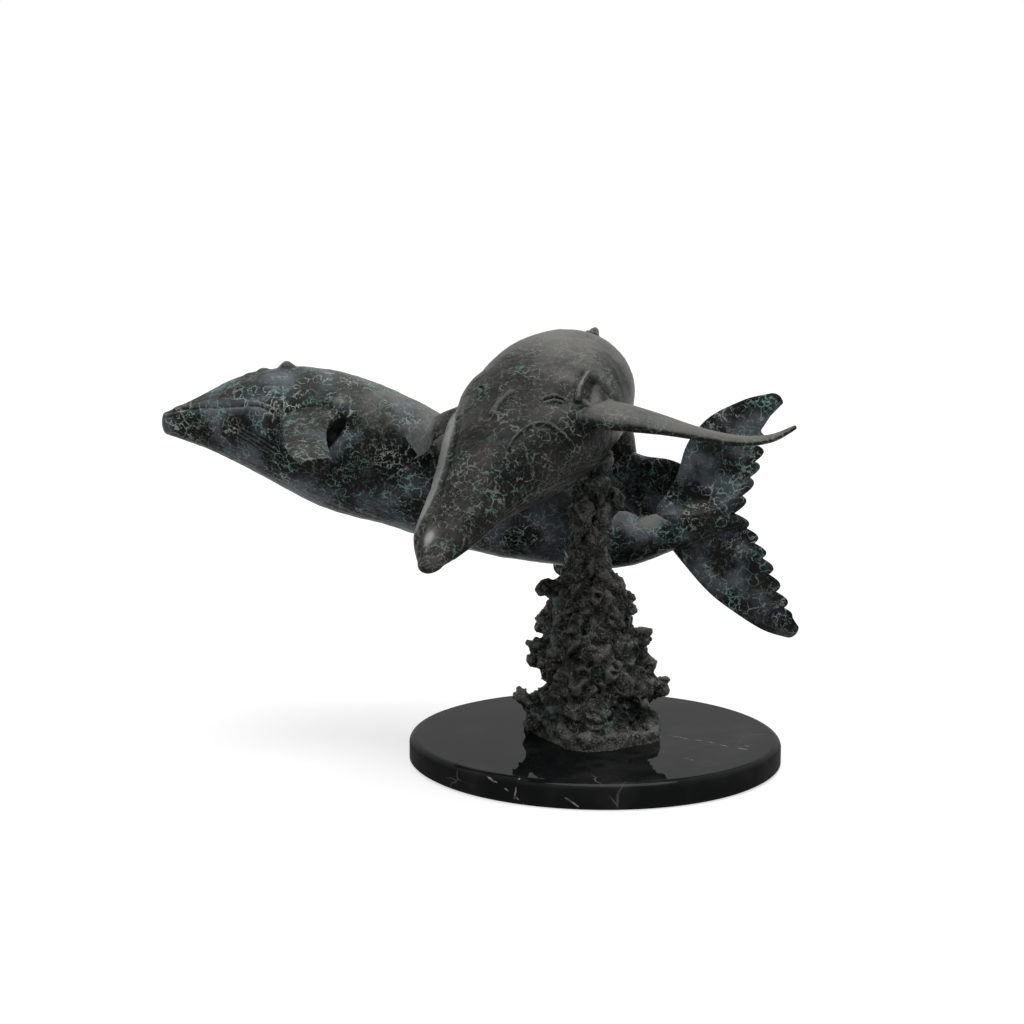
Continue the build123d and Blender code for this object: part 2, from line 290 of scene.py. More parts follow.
@dataclass(frozen=True)
class PatinaFinish:
    """Dark bronze with dusty high places and thin broken lines of verdigris, with painted shade in hollows,
    painted sheen, painted highlights and painted glints.
    """

    name: str
    dark: Colour = (0.0058, 0.0062, 0.0063)
    brown: Colour = (0.027, 0.0250, 0.0225)
    # Tone of the patches: a pale blue-grey painted sheen by default, on the whales; the coral sets teal
    # verdigris here.
    sheen_and_verdigris: Colour = (0.125, 0.145, 0.165)
    dust: Colour = (0.200, 0.196, 0.184)
    line: Colour = (0.470, 0.510, 0.460)
    verdigris: Colour = (0.260, 0.480, 0.410)
    # Pale tone of painted highlights and glints.
    painted_highlight: Colour = (0.430, 0.440, 0.445)
    dust_low: float = 0.30
    dust_high: float = 1.05
    dust_amount: float = 0.80
    sheen_and_verdigris_amount: float = 0.70
    sheen_and_verdigris_rarity: float = 0.44
    line_amount: float = 0.80
    crest_amount: float = 0.30
    relief_span: float = 0.30
    glint_amount: float = 0.0
    grain: float = 0.30
    grain_depth: float = 0.0006
    roughness: float = 0.34
    gloss: float = 0.05

    def build(self) -> bpy.types.Material:
        """Return the material."""
        material, graph, shader = new_material(self.name)
        place = graph.node("ShaderNodeTexCoord", {}, {}, "Object")
        relief = graph.node("ShaderNodeAttribute", {"attribute_name": "relief"}, {}, "Fac")
        dust_highlight_shade = graph.node("ShaderNodeAttribute", {"attribute_name": "dust"}, {}, "Fac")
        polish = graph.node("ShaderNodeAttribute", {"attribute_name": "polish"}, {}, "Fac")
        facing = graph.node("ShaderNodeNewGeometry", {}, {}, "Normal")
        upward = graph.node("ShaderNodeSeparateXYZ", {}, {0: facing}, 2)

        patches = graph.noise(place, 17.0, 4.0)
        other_patches = graph.noise(graph.vector("ADD", place, (0.31, 0.17, 0.23)), 24.0, 4.0)
        green_patches = graph.noise(graph.vector("ADD", place, (0.71, 0.47, 0.13)), 42.0, 5.0)
        clouds = graph.noise(place, 34.0, 6.0)
        speckle = graph.noise(place, 520.0, 2.0)

        lines = self._lines(graph, place, patches, other_patches) * speckle.step(0.32, 0.50)
        # Painted shade: hollows, where the surface lies below its smoothed surroundings, are darkened as if
        # shade fell in them.
        painted_hollow_shade = (relief * -1.0).step(0.1 * self.relief_span, self.relief_span)
        crest = relief.step(0.25 * self.relief_span, 1.1 * self.relief_span)

        layer = dust_highlight_shade.most(0.0).least(1.0) * self.dust_amount
        dusty = (upward + (clouds - 0.5) * 1.1).step(self.dust_low, self.dust_high) * layer
        # Painted highlight: dust values above 1 mix in a pale tone that stands for light on the snout, the
        # lip shelf and a flipper facet.
        highlit_mask = (dust_highlight_shade - 1.0).most(0.0) * (0.5 + clouds)
        dusty = (dusty + crest * self.crest_amount).least(1.0) * (1.0 - painted_hollow_shade * 0.8)
        mottled = (clouds + (speckle - 0.5) * 0.5).step(0.38, 0.68)
        metal = graph.mix(mottled * (1.0 - polish * 0.6), self.dark, self.brown)
        # Painted sheen: on polished parts, patches take a pale tone where a smooth surface would reflect
        # light; on the coral they are teal verdigris.
        sheen_and_verdigris_mask = graph.noise(graph.vector("ADD", place, (0.19, 0.83, 0.37)), 30.0, 8.0)
        sheen_and_verdigris_mask = sheen_and_verdigris_mask.step(self.sheen_and_verdigris_rarity, self.sheen_and_verdigris_rarity + 0.20) * polish * self.sheen_and_verdigris_amount
        metal = graph.mix(sheen_and_verdigris_mask, metal, self.sheen_and_verdigris)
        # Mix the painted shade of the hollows into the metal colour.
        shaded = graph.mix(painted_hollow_shade * 0.85, metal, tuple(0.45 * part for part in self.dark))
        dulled = graph.mix(dusty * (0.60 + speckle * 0.7), shaded, self.dust)
        dulled = graph.mix(highlit_mask * (0.70 + speckle * 0.6), dulled, self.painted_highlight)
        tint = graph.mix((green_patches + polish * 0.06).step(0.46, 0.68), self.line, self.verdigris)
        hidden = dusty.most(highlit_mask * 1.2).least(1.0) * 0.75
        shown = lines * (0.42 + polish * 0.58) * (1.0 - hidden) * self.line_amount
        coloured = graph.mix(shown, dulled, tint)
        # Painted glints: small pale flecks in the highlight tone, away from the hollows.
        glint_flecks = graph.noise(graph.vector("ADD", place, (0.11, 0.59, 0.77)), 620.0, 3.0).step(0.53, 0.70)
        glint_flecks = glint_flecks * clouds.step(0.36, 0.60) * (1.0 - painted_hollow_shade)
        coloured = graph.mix(glint_flecks * self.glint_amount, coloured, self.painted_highlight)
        # Painted shadow: dust values below 0 darken the colour almost to black, in the gap behind the rear
        # whale's near flipper.
        shade = (dust_highlight_shade * -1.0).step(0.05, 0.55)
        coloured = graph.mix(shade, coloured, tuple(0.3 * part for part in self.dark))

        height = speckle * 0.30 + clouds * 0.45 + lines * 0.30
        grain = {"Strength": self.grain, "Distance": self.grain_depth, "Height": height}
        bump = graph.node("ShaderNodeBump", {}, grain)
        links = material.node_tree.links
        links.new(coloured.socket, shader.inputs["Base Color"])
        links.new((self.roughness + dusty * 0.25 + lines * 0.25).socket, shader.inputs["Roughness"])
        links.new(bump.socket, shader.inputs["Normal"])
        shader.inputs["Specular IOR Level"].default_value = self.gloss
        return material

    def _lines(self, graph: Graph, place: Value, patches: Value, other_patches: Value) -> Value:
        """Return where thin lines run: cracks at two sizes, rings and squiggles, with dots of painted glint
        among them.

        Args:
            graph: The material's graph.
            place: The place, in metres.
            patches: Noise that says where the coarse lines show.
            other_patches: Noise that says where rings and fine lines show.

        Returns:
            The strength of the lines from 0 to 1.
        """
        finely = graph.warped(place, 300.0, 0.0030)
        wavy = graph.warped(finely, 110.0, 0.0070)
        curly = graph.warped(finely, 85.0, 0.0105)
        breaks = graph.noise(place, 210.0, 2.0)
        swarms = graph.noise(graph.vector("ADD", place, (0.53, 0.29, 0.61)), 36.0, 3.0)
        coarse = graph.cells(wavy, 100.0, "DISTANCE_TO_EDGE").step(0.056, 0.020)
        coarse = coarse * patches.step(0.47, 0.54)
        fine = graph.cells(finely, 205.0, "DISTANCE_TO_EDGE").step(0.090, 0.032)
        fine = fine * other_patches.step(0.44, 0.53)
        ring = (graph.cells(curly, 88.0, "F1") - 0.40).size().step(0.048, 0.016)
        ring = ring * other_patches.step(0.49, 0.42)
        squiggle = (graph.noise(curly, 130.0, 2.0) - 0.5).size().step(0.020, 0.006)
        squiggle = squiggle * patches.step(0.52, 0.44)
        # Painted glints: small dots that show with the lines.
        sparkle = graph.cells(finely, 270.0, "F1").step(0.20, 0.10) * other_patches.step(0.36, 0.56)
        drawn = coarse.most(ring * 0.9).most(squiggle * 0.7) * breaks.step(0.36, 0.46)
        drawn = drawn.most(fine * 0.8 * breaks.step(0.46, 0.56))
        return drawn.most(sparkle * 0.6) * (0.25 + swarms.step(0.36, 0.58) * 0.75)


@dataclass(frozen=True)
class MarbleFinish:
    """Polished black marble with a few thin pale veins."""

    name: str
    ground: Colour = (0.0060, 0.0064, 0.0068)
    cloud: Colour = (0.016, 0.016, 0.016)
    vein: Colour = (0.30, 0.29, 0.27)
    polish: float = 0.22
    gloss_roughness: float = 0.03
    vein_lines: tuple[tuple[Point, ...], ...] = (
        (
            (61.0, -8.0, 20.5), (80.0, -20.0, 20.5), (92.0, -26.0, 20.5),
            (99.0, -34.0, 20.5), (121.0, -47.0, 20.5),
        ),
        ((120.0, -35.0, 20.5), (131.0, -44.0, 20.5), (143.0, -51.0, 20.5)),
        ((71.0, -76.0, 20.5), (76.0, -82.0, 20.5)),
        ((-84.0, -127.0, 20.0), (-60.0, -140.0, 9.0), (-52.0, -143.0, 2.0)),
        ((-55.0, -139.0, 20.0), (-58.0, -141.0, 4.0)),
        ((-30.0, -149.0, 16.0), (-12.0, -152.0, 3.0)),
    )
    vein_width: float = 0.55

    def build(self) -> bpy.types.Material:
        """Return the material."""
        material, graph, shader = new_material(self.name)
        place = graph.node("ShaderNodeTexCoord", {}, {}, "Object")
        wavering = graph.warped(graph.warped(place, 60.0, 0.006), 400.0, 0.0012)
        nearest = None
        for line in self.vein_lines:
            for start, end in zip(line[:-1], line[1:]):
                gap = self._distance(graph, wavering, start, end)
                nearest = gap if nearest is None else nearest.least(gap)
        strength = graph.noise(place, 90.0, 2.0).step(0.30, 0.62)
        drawn = (nearest / MM).step(self.vein_width * 1.6, self.vein_width * 0.3) * (0.25 + strength * 0.75)
        stray_edge = graph.cells(graph.warped(place, 18.0, 0.05), 14.0, "DISTANCE_TO_EDGE")
        stray = stray_edge.step(0.010, 0.002) * graph.noise(place, 24.0, 2.0).step(0.60, 0.72) * 0.25
        clouded = graph.mix(graph.noise(place, 26.0, 6.0).step(0.45, 0.72), self.ground, self.cloud)
        coloured = graph.mix(drawn.most(stray), clouded, self.vein)
        links = material.node_tree.links
        links.new(coloured.socket, shader.inputs["Base Color"])
        shader.inputs["Roughness"].default_value = 0.5
        shader.inputs["Specular IOR Level"].default_value = 0.0
        facing = graph.node("ShaderNodeNewGeometry", {}, {}, "Normal")
        upward = graph.node("ShaderNodeSeparateXYZ", {}, {0: facing}, 2)
        polished = self.polish * (0.35 + upward.step(0.3, 0.9) * 0.65)
        links.new(polished.socket, shader.inputs["Coat Weight"])
        shader.inputs["Coat Roughness"].default_value = self.gloss_roughness
        return material

    def _distance(self, graph: Graph, place: Value, start: Point, end: Point) -> Value:
        """Return the distance from a place to a straight piece of vein.

        Args:
            graph: The material's graph.
            place: The place, in metres.
            start: One end, in millimetres.
            end: The other end, in millimetres.

        Returns:
            The distance in metres.
        """
        low = Vector(start) * MM
        reach = Vector(end) * MM - low
        offset = graph.vector("SUBTRACT", place, tuple(low))
        along = graph.measure("DOT_PRODUCT", offset, tuple(reach))
        part = (along / reach.length_squared).least(1.0).most(0.0)
        foot = graph.scaled(tuple(reach), part)
        return graph.measure("LENGTH", graph.vector("SUBTRACT", offset, foot))


@dataclass(frozen=True)
class PlainFinish:
    """One even surface with a little cloudiness, for hidden fittings and felt."""

    name: str
    colour: Colour
    roughness: float
    metallic: float = 0.0
    mottle: float = 0.15
    mottle_scale: float = 160.0

    def build(self) -> bpy.types.Material:
        """Return the material."""
        material, graph, shader = new_material(self.name)
        place = graph.node("ShaderNodeTexCoord", {}, {}, "Object")
        clouds = graph.noise(place, self.mottle_scale, 3.0)
        darker = tuple(part * (1.0 - self.mottle) for part in self.colour)
        links = material.node_tree.links
        links.new(graph.mix(clouds, darker, self.colour).socket, shader.inputs["Base Color"])
        links.new((self.roughness + clouds * 0.1).socket, shader.inputs["Roughness"])
        shader.inputs["Metallic"].default_value = self.metallic
        return material


@dataclass
class Form:
    """A closed mesh in millimetres that becomes one dressed piece."""

    points: Array
    faces: list[tuple[int, ...]]
    relief: Array | None = None
    # Dust runs from 0 to 1; above 1 it is a painted highlight, and below 0 painted shade.
    dust: Array | float = 1.0
    polish: float = 0.0

    def to_piece(self, name: str, node: str, slot: str, material: bpy.types.Material) -> bpy.types.Object:
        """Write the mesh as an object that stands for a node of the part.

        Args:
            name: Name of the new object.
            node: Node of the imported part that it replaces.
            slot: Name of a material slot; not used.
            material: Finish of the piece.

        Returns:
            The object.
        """
        mesh = bpy.data.meshes.new(name)
        mesh.from_pydata((self.points * MM).tolist(), [], self.faces)
        dust = np.broadcast_to(np.asarray(self.dust, float), (len(self.points),))
        write_values(mesh, "dust", dust)
        write_values(mesh, "polish", np.full(len(self.points), self.polish))
        if self.relief is not None:
            write_values(mesh, "relief", self.relief)
        return dress(mesh, name, node, material)


def write_values(mesh: bpy.types.Mesh, name: str, values: Array) -> None:
    """Store one number for each vertex as a named attribute."""
    attribute = mesh.attributes.new(name, "FLOAT", "POINT")
    attribute.data.foreach_set("value", np.ascontiguousarray(values, np.float32))


def dress(
    mesh: bpy.types.Mesh, name: str, node: str, material: bpy.types.Material
) -> bpy.types.Object:
    """Finish a mesh: outward normals, smooth shading, material and place in the frame.

    Args:
        mesh: The mesh, in metres.
        name: Name of the new object.
        node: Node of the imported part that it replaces.
        material: Finish of the piece.

    Returns:
        The object.
    """
    work = bmesh.new()
    work.from_mesh(mesh)
    bmesh.ops.recalc_face_normals(work, faces=work.faces)
    work.to_mesh(mesh)
    work.free()
    mesh.shade_smooth()
    mesh.set_sharp_from_angle(angle=math.radians(62))
    mesh.materials.clear()
    mesh.materials.append(material)
    piece = bpy.data.objects.new(name, mesh)
    bpy.context.scene.collection.objects.link(piece)
    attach(piece, "root")
    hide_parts(node)
    log.info("%s: %d faces", name, len(mesh.polygons))
    return piece


def write_relief(mesh: bpy.types.Mesh, passes: int) -> None:
    """Store how far each vertex stands out from its smoothed surroundings, in millimetres.

    Args:
        mesh: The mesh that gets the values as the attribute relief.
        passes: Rounds of smoothing.
    """
    count = len(mesh.vertices)
    places = np.empty(count * 3, np.float32)
    mesh.vertices.foreach_get("co", places)
    places = places.reshape(-1, 3).astype(float) / MM
    ends = np.empty(len(mesh.edges) * 2, np.int32)
    mesh.edges.foreach_get("vertices", ends)
    first, second = ends.reshape(-1, 2).T
    both = np.concatenate([first, second])
    other = np.concatenate([second, first])
    degree = np.maximum(np.bincount(both, minlength=count), 1)[:, None]
    smoothed = places.copy()
    for _ in range(passes):
        sums = [np.bincount(both, weights=smoothed[other, axis], minlength=count) for axis in range(3)]
        smoothed = 0.5 * smoothed + 0.5 * np.stack(sums, axis=1) / degree
    normals = np.empty(count * 3, np.float32)
    mesh.vertex_normals.foreach_get("vector", normals)
    stand = ((places - smoothed) * normals.reshape(-1, 3)).sum(axis=1)
    write_values(mesh, "relief", stand)


def grid_faces(rows: int, columns: int, start: int = 0) -> list[tuple[int, ...]]:
    """Return the quads of a tube of rows, each a closed ring of columns."""
    upper = np.arange(rows - 1)[:, None] * columns + np.arange(columns)[None, :] + start
    beside = np.arange(rows - 1)[:, None] * columns + (np.arange(columns)[None, :] + 1) % columns + start
    quads = np.stack([upper, beside, beside + columns, upper + columns], axis=-1)
    return [tuple(quad) for quad in quads.reshape(-1, 4).tolist()]


def grid_relief(rings: Array, passes: int = 10) -> Array:
    """Return how far each point of a tube of rings stands out from its smoothed surroundings."""
    smoothed = rings.copy()
    for _ in range(passes):
        before = np.concatenate([smoothed[:1], smoothed[:-1]])
        after = np.concatenate([smoothed[1:], smoothed[-1:]])
        beside = np.roll(smoothed, 1, axis=1) + np.roll(smoothed, -1, axis=1)
        smoothed = 0.5 * smoothed + 0.125 * (before + after + beside)
    along = np.gradient(rings, axis=0)
    around = np.roll(rings, -1, axis=1) - np.roll(rings, 1, axis=1)
    normal = unit(np.cross(around, along))
    outward = np.sign(((rings - rings.mean(axis=1, keepdims=True)) * normal).sum(axis=-1).mean())
    return ((rings - smoothed) * normal).sum(axis=-1) * outward


def closed_tube(rings: Array) -> Form:
    """Return rings of points as a closed form, with a flat fan at each end."""
    rows, columns, _ = rings.shape
    caps = np.stack([rings[0].mean(axis=0), rings[-1].mean(axis=0)])
    points = np.concatenate([rings.reshape(-1, 3), caps])
    faces = grid_faces(rows, columns)
    low_cap = rows * columns
    last = (rows - 1) * columns
    for i in range(columns):
        faces.append((low_cap, (i + 1) % columns, i))
        faces.append((low_cap + 1, last + i, last + (i + 1) % columns))
    return Form(points, faces)


def with_caps(values: Array) -> Array:
    """Return one value for each point of a closed tube, with zero at the middles of its ends."""
    return np.concatenate([values.reshape(-1), [0.0, 0.0]])


@dataclass
class Crease:
    """A line on a whale's skin: a ridge, or with a negative height a groove.

    The path holds the fraction of the length and the angle from the midline of the back.
    """

    path: Rows
    height: float
    width: float
    sides: tuple[Side, ...] = BOTH_SIDES


@dataclass
class Swell:
    """A round rise on a whale's skin, or with a negative height a dent."""

    fraction: float
    angle: float
    height: float
    radius: float
    sides: tuple[Side, ...] = BOTH_SIDES


@dataclass
class WhaleSkin:
    """The skin of a whale as oval sections along a spine."""

    stations: list[tuple]
    slab_top: float
    midline: Rows
    nose_reach: float
    nose_round: float
    nose_bluntness: float
    nose_power: float = 0.5
    length: float = field(init=False)
    spline: NaturalSpline = field(init=False)
    midline_spline: NaturalSpline = field(init=False)
    spine: dict[str, Array] = field(init=False)

    def __post_init__(self) -> None:
        """Fit the splines and sample the spine."""
        rows = [[*centre, *dorsal, *sizes] for centre, dorsal, *sizes in self.stations]
        rows = np.array(rows, float)
        rows[:, 2] += self.slab_top
        knots = chain_lengths(rows[:, :3])
        self.length = knots[-1]
        self.spline = NaturalSpline(knots, rows)
        fractions, angles = zip(*self.midline)
        self.midline_spline = NaturalSpline(fractions, angles)
        self.spine = self.sections(np.linspace(0.0, self.length, 400))

    def sections(self, places: Array) -> dict[str, Array]:
        """Return centre, directions and sizes of the sections at places along the spine."""
        rows = self.spline(places)
        rows[..., 6:9] = self.spline(np.maximum(places, 0.0))[..., 6:9]
        step = 0.5
        along = unit(self.spline(places + step)[..., :3] - self.spline(places - step)[..., :3])
        dorsal = rows[..., 3:6]
        dorsal = unit(dorsal - (dorsal * along).sum(axis=-1, keepdims=True) * along)
        across = np.cross(dorsal, along)
        return {
            "centre": rows[..., :3],
            "along": along,
            "dorsal": dorsal,
            "across": across,
            "width": np.maximum(rows[..., 6], 1.0),
            "above": np.maximum(rows[..., 7], 1.0),
            "below": np.maximum(rows[..., 8], 1.0),
        }

    def midline_angle(self, fractions: Array) -> Array:
        """Return the angle of the middle of the back, in degrees."""
        return self.midline_spline(np.clip(fractions, 0.0, 1.0))[..., 0]

    def surface(self, places: Array, degrees: Array) -> Array:
        """Return points of the plain skin.

        Args:
            places: Distances along the spine in millimetres.
            degrees: Angles round the section, 90 at the top of the oval and 180 at the whale's left.

        Returns:
            One point for each pair.
        """
        part = self.sections(places)
        angle = np.radians(degrees)
        rise = np.sin(angle)
        height = np.where(rise > 0, part["above"], part["below"]) * rise
        spread = part["width"] * np.cos(angle)
        total = self.nose_reach + self.nose_round
        inside = np.clip((self.nose_round - places) / total, 0.0, 1.0)
        tapered = (1.0 - inside**self.nose_bluntness) ** self.nose_power
        offset = part["across"] * spread[..., None] + part["dorsal"] * height[..., None]
        return part["centre"] + offset * tapered[..., None]

    def on_path(self, path: Rows, side: Side, count: int = 160) -> Array:
        """Return points of the plain skin along a path of fractions and angles from the midline."""
        path_rows = np.array(path, float)
        spline = NaturalSpline(np.arange(len(path_rows)), path_rows)
        rows = spline(np.linspace(0, len(path_rows) - 1, count))
        angles = self.midline_angle(rows[:, 0]) + side.value * rows[:, 1]
        return self.surface(rows[:, 0] * self.length, angles)

    def clearance(self, points: Array) -> Array:
        """Return how far points lie outside the plain skin, in millimetres."""
        gaps = np.linalg.norm(points[:, None, :] - self.spine["centre"][None, :, :], axis=-1)
        scale = np.minimum(self.spine["width"], 0.5 * (self.spine["above"] + self.spine["below"]))
        nearest = np.argmin(gaps - scale[None, :], axis=1)
        offset = points - self.spine["centre"][nearest]
        across = (offset * self.spine["across"][nearest]).sum(axis=1)
        rise = (offset * self.spine["dorsal"][nearest]).sum(axis=1)
        height = np.where(rise > 0, self.spine["above"][nearest], self.spine["below"][nearest])
        ratio = np.sqrt((across / self.spine["width"][nearest]) ** 2 + (rise / height) ** 2) + 1e-6
        return np.hypot(across, rise) * (1.0 - 1.0 / ratio)

    def flare(self, points: Array, radius: float) -> Array:
        """Return how far a weld of the given radius spreads a fin that stands on the skin."""
        gap = np.clip(self.clearance(points), 0.0, radius)
        return radius - np.sqrt(np.maximum(radius**2 - (radius - gap) ** 2, 0.0))


def distance_to_path(points: Array, path: Array) -> Array:
    """Return the distance from each point to a dense chain of points."""
    nearest = np.full(len(points), 1e9)
    for block in range(0, len(points), 8192):
        part = points[block : block + 8192].astype(np.float32)
        gaps = ((part[:, None, :] - path[None, :, :].astype(np.float32)) ** 2).sum(axis=-1)
        nearest[block : block + 8192] = np.sqrt(gaps.min(axis=1))
    return nearest


@dataclass
class Blade:
    """A flipper or fin: a lens-shaped blade with a knobbly leading edge and a flared weld at its root.

    Each row holds centre, chord direction, half chord and half thickness.
    The leading edge is at minus chord.
    """

    rows: list[tuple]
    skin: WhaleSkin
    seed: int
    knob_height: float = 0.25
    knob_gap: float = 13.0
    weld_radius: float = 0.0
    ridge: tuple[float, float] | None = None
    tip_reach: float = 3.0
    tip_square: float = 2.0
    roughness: float = 0.5
    dust: float = 1.0
    # Amount of painted highlight on the facet below the ridge, towards the tip.
    painted_highlight: float = 0.0
    columns: int = 96
    row_gap: float = 1.1

    def build(self) -> Form:
        """Return the blade as a closed form."""
        table = np.array([[*centre, *chord, *sizes] for centre, chord, *sizes in self.rows], float)
        table[:, 2] += self.skin.slab_top
        knots = chain_lengths(table[:, :3])
        spline = NaturalSpline(knots, table)
        reach = knots[-1]
        places = np.linspace(0.0, reach, int(reach / self.row_gap))
        tip_turn = np.sin(np.linspace(0.0, math.pi / 2, 18)[1:])
        places = np.concatenate([places, reach + self.tip_reach * tip_turn])
        rounded = (1.0 - tip_turn**self.tip_square) ** (1.0 / self.tip_square)
        taper = np.concatenate([np.ones(len(places) - len(tip_turn)), rounded])
        inside = np.minimum(places, reach)
        rows = spline(inside)
        along = unit(rows[:, :3] - spline(inside - 1.0)[:, :3])
        centre = rows[:, :3] + along * np.maximum(places - reach, 0.0)[:, None]
        chord = unit(rows[:, 3:6] - (rows[:, 3:6] * along).sum(axis=1, keepdims=True) * along)
        face = np.cross(along, chord)
        half_chord = np.maximum(rows[:, 6], 1.5) * taper
        half_thick = np.maximum(rows[:, 7], 0.8) * np.sqrt(np.maximum(taper, 0.002))

        angle = np.linspace(0.0, 2 * math.pi, self.columns, endpoint=False)
        lens = np.cos(angle)
        bulge = np.broadcast_to(np.sin(angle) * (0.86 - 0.22 * lens), (len(places), self.columns))
        dust = np.full(bulge.shape, self.dust)
        if self.ridge:
            top = np.interp(places, [0.0, reach], self.ridge)[:, None]
            outer = smooth_step(places, 0.45 * reach, 0.8 * reach)[:, None]
            # Painted highlight: the facet below the ridge is lighter towards the tip, as if light fell on
            # it.
            dust += self.painted_highlight * (lens[None, :] < top) * outer
            slopes = np.minimum((1.0 + lens) / (1.0 + top), (1.0 - lens) / (1.0 - top))
            bulge = np.sign(np.sin(angle))[None, :] * slopes
        leading = np.clip(-lens, 0.0, 1.0) ** 3
        phase = np.random.default_rng(self.seed).uniform(0.0, 2 * math.pi, 2)
        beat = np.sin(2 * math.pi * places / self.knob_gap + phase[0])
        beat = beat * (0.7 + 0.3 * np.sin(2 * math.pi * places / (2.7 * self.knob_gap) + phase[1]))
        knobs = self.knob_height * beat * smooth_step(places, 12.0, 30.0)
        spread = half_chord[:, None] * lens[None, :] - knobs[:, None] * leading[None, :]
        lift = half_thick[:, None] * bulge
        points = centre[:, None, :] + chord[:, None, :] * spread[..., None]
        points = points + face[:, None, :] * lift[..., None]

        upright = face[:, None, :] * (1.6 * np.sin(angle))[None, :, None]
        outward = unit(chord[:, None, :] * lens[None, :, None] + upright)
        flat = points.reshape(-1, 3)
        flare = self.skin.flare(flat, self.weld_radius)
        rough = SpaceNoise(self.seed, 9.0)(flat) * 0.35 + SpaceNoise(self.seed + 1, 3.2)(flat) * 0.16
        moved = flat + outward.reshape(-1, 3) * (flare * 0.9 + rough * self.roughness)[:, None]
        rings = moved.reshape(points.shape)
        form = closed_tube(rings)
        form.relief = with_caps(grid_relief(rings, 2))
        form.dust = with_caps(dust)
        return form


@dataclass
class Flukes:
    """Both lobes of a tail as one plate with toothed trailing edges and a ridge that runs into the tail."""

    centre: Point
    along: Point
    across: Point
    skin: WhaleSkin
    seed: int
    near_edge: Rows = field(
        default_factory=lambda: [
            (-52, 9), (-34, 34), (-25, 58), (-13, 74), (4, 86), (22, 93), (37, 96.6), (48, 98),
        ]
    )
    near_roots: Rows = field(
        default_factory=lambda: [
            (57, 89), (46, 79), (38, 68), (36, 55), (33, 42), (28, 29), (21, 14), (14, 0),
        ]
    )
    far_edge: Rows = field(
        default_factory=lambda: [
            (-52, 9), (-44, 23), (-28, 46), (-6, 72), (11, 86), (26, 97), (41, 104.5), (52, 108),
        ]
    )
    far_roots: Rows = field(
        default_factory=lambda: [
            (61, 99), (51, 82), (45, 68), (40, 53), (35, 39), (29, 26), (23, 13), (14, 0),
        ]
    )
    tooth_height: float = 4.4
    near_toothed: tuple[float, float] = (68.0, 61.0)
    far_toothed: tuple[float, float] = (92.0, 84.0)
    notch_depth: float = 1.5
    dust: float = 0.15
    root_thickness: float = 6.0
    tip_thickness: float = 2.2
    weld_radius: float = 9.0
    columns: int = 96
    span_steps: int = 190

    def outline(
        self, edge: Rows, roots: Rows, toothed: tuple[float, float], spans: Array
    ) -> tuple[Array, Array]:
        """Return where the leading and trailing edges lie along the tail, at distances across it.

        Args:
            edge: Points of the leading edge, along and across.
            roots: Points between the teeth of the trailing edge, from tip to middle.
            toothed: Distances across between which the teeth fade in.
            spans: Distances across the tail.

        Returns:
            Leading and trailing positions.
        """
        edge_rows = np.array(edge, float)
        lead = NaturalSpline(edge_rows[:, 1], edge_rows[:, 0])(np.maximum(spans, edge_rows[0, 1]))[:, 0]
        trail_rows = np.array(roots[::-1], float)
        trail = np.interp(spans, trail_rows[:, 1], trail_rows[:, 0])
        slot = np.clip(np.searchsorted(trail_rows[:, 1], spans, side="right") - 1, 0, len(trail_rows) - 2)
        width = trail_rows[slot + 1, 1] - trail_rows[slot, 1]
        part = np.clip((spans - trail_rows[slot, 1]) / width, 0.0, 1.0)
        shape = np.sin(math.pi * part**1.25) ** 0.75
        close_at, tip = edge_rows[-1]
        tooth = (self.tooth_height + self.notch_depth) * shape - self.notch_depth
        trail = trail + tooth * smooth_step(spans, *toothed)
        start = trail_rows[-1, 1]
        past = np.clip((spans - start) / (tip - start), 0.0, 1.0)
        rounded = close_at + (trail_rows[-1, 0] - close_at) * np.sqrt(1.0 - past**2)
        return np.minimum(lead, close_at), np.where(spans > start, rounded, trail)

    def build(self) -> Form:
        """Return the plate as a closed form."""
        near_tip = self.near_edge[-1][1]
        far_tip = self.far_edge[-1][1]
        turn = np.linspace(-1.0, 1.0, 2 * self.span_steps + 1)
        spread = np.sin(turn * math.pi / 2) * 0.55 + turn * 0.45
        spans = np.where(spread > 0, spread * near_tip, spread * far_tip)
        near = self.outline(self.near_edge, self.near_roots, self.near_toothed, np.abs(spans))
        far = self.outline(self.far_edge, self.far_roots, self.far_toothed, np.abs(spans))
        lead = np.where(spans > 0, near[0], far[0])
        trail = np.where(spans > 0, near[1], far[1])
        share = np.abs(spans) / np.where(spans > 0, near_tip, far_tip)
        thick = self.root_thickness + (self.tip_thickness - self.root_thickness) * share

        angle = np.linspace(0.0, 2 * math.pi, self.columns, endpoint=False)
        lens = np.cos(angle)
        bulge = np.sign(np.sin(angle)) * np.abs(np.sin(angle)) ** 0.9 * (0.80 - 0.30 * lens)
        middle = 0.5 * (lead + trail)
        half = np.maximum(0.5 * (trail - lead), 0.05)
        tail = middle[:, None] + half[:, None] * lens[None, :]
        rise = (thick * np.sqrt(np.clip(1.0 - share**6, 0.0, 1.0)))[:, None] * bulge[None, :]
        ridge = 5.0 * np.exp(-((np.abs(spans)[:, None] / 10.0) ** 2)) * smooth_step(-tail, -12.0, 30.0)
        rise = rise + np.sign(np.sin(angle))[None, :] * ridge * np.abs(np.sin(angle))[None, :]
        behind = smooth_step(tail - middle[:, None], -5.0, 20.0)
        ribs = 0.35 * np.sin(tail / 3.1 + spans[:, None] / 5.0) * behind
        rise = rise + ribs * np.abs(np.sin(angle))[None, :]
        along = unit(np.array(self.along, float))
        across = np.array(self.across, float)
        across = unit(across - (across @ along) * along)
        face = np.cross(along, across)
        origin = np.array(self.centre, float) + np.array([0.0, 0.0, self.skin.slab_top])
        points = origin + tail[..., None] * along + spans[:, None, None] * across + rise[..., None] * face

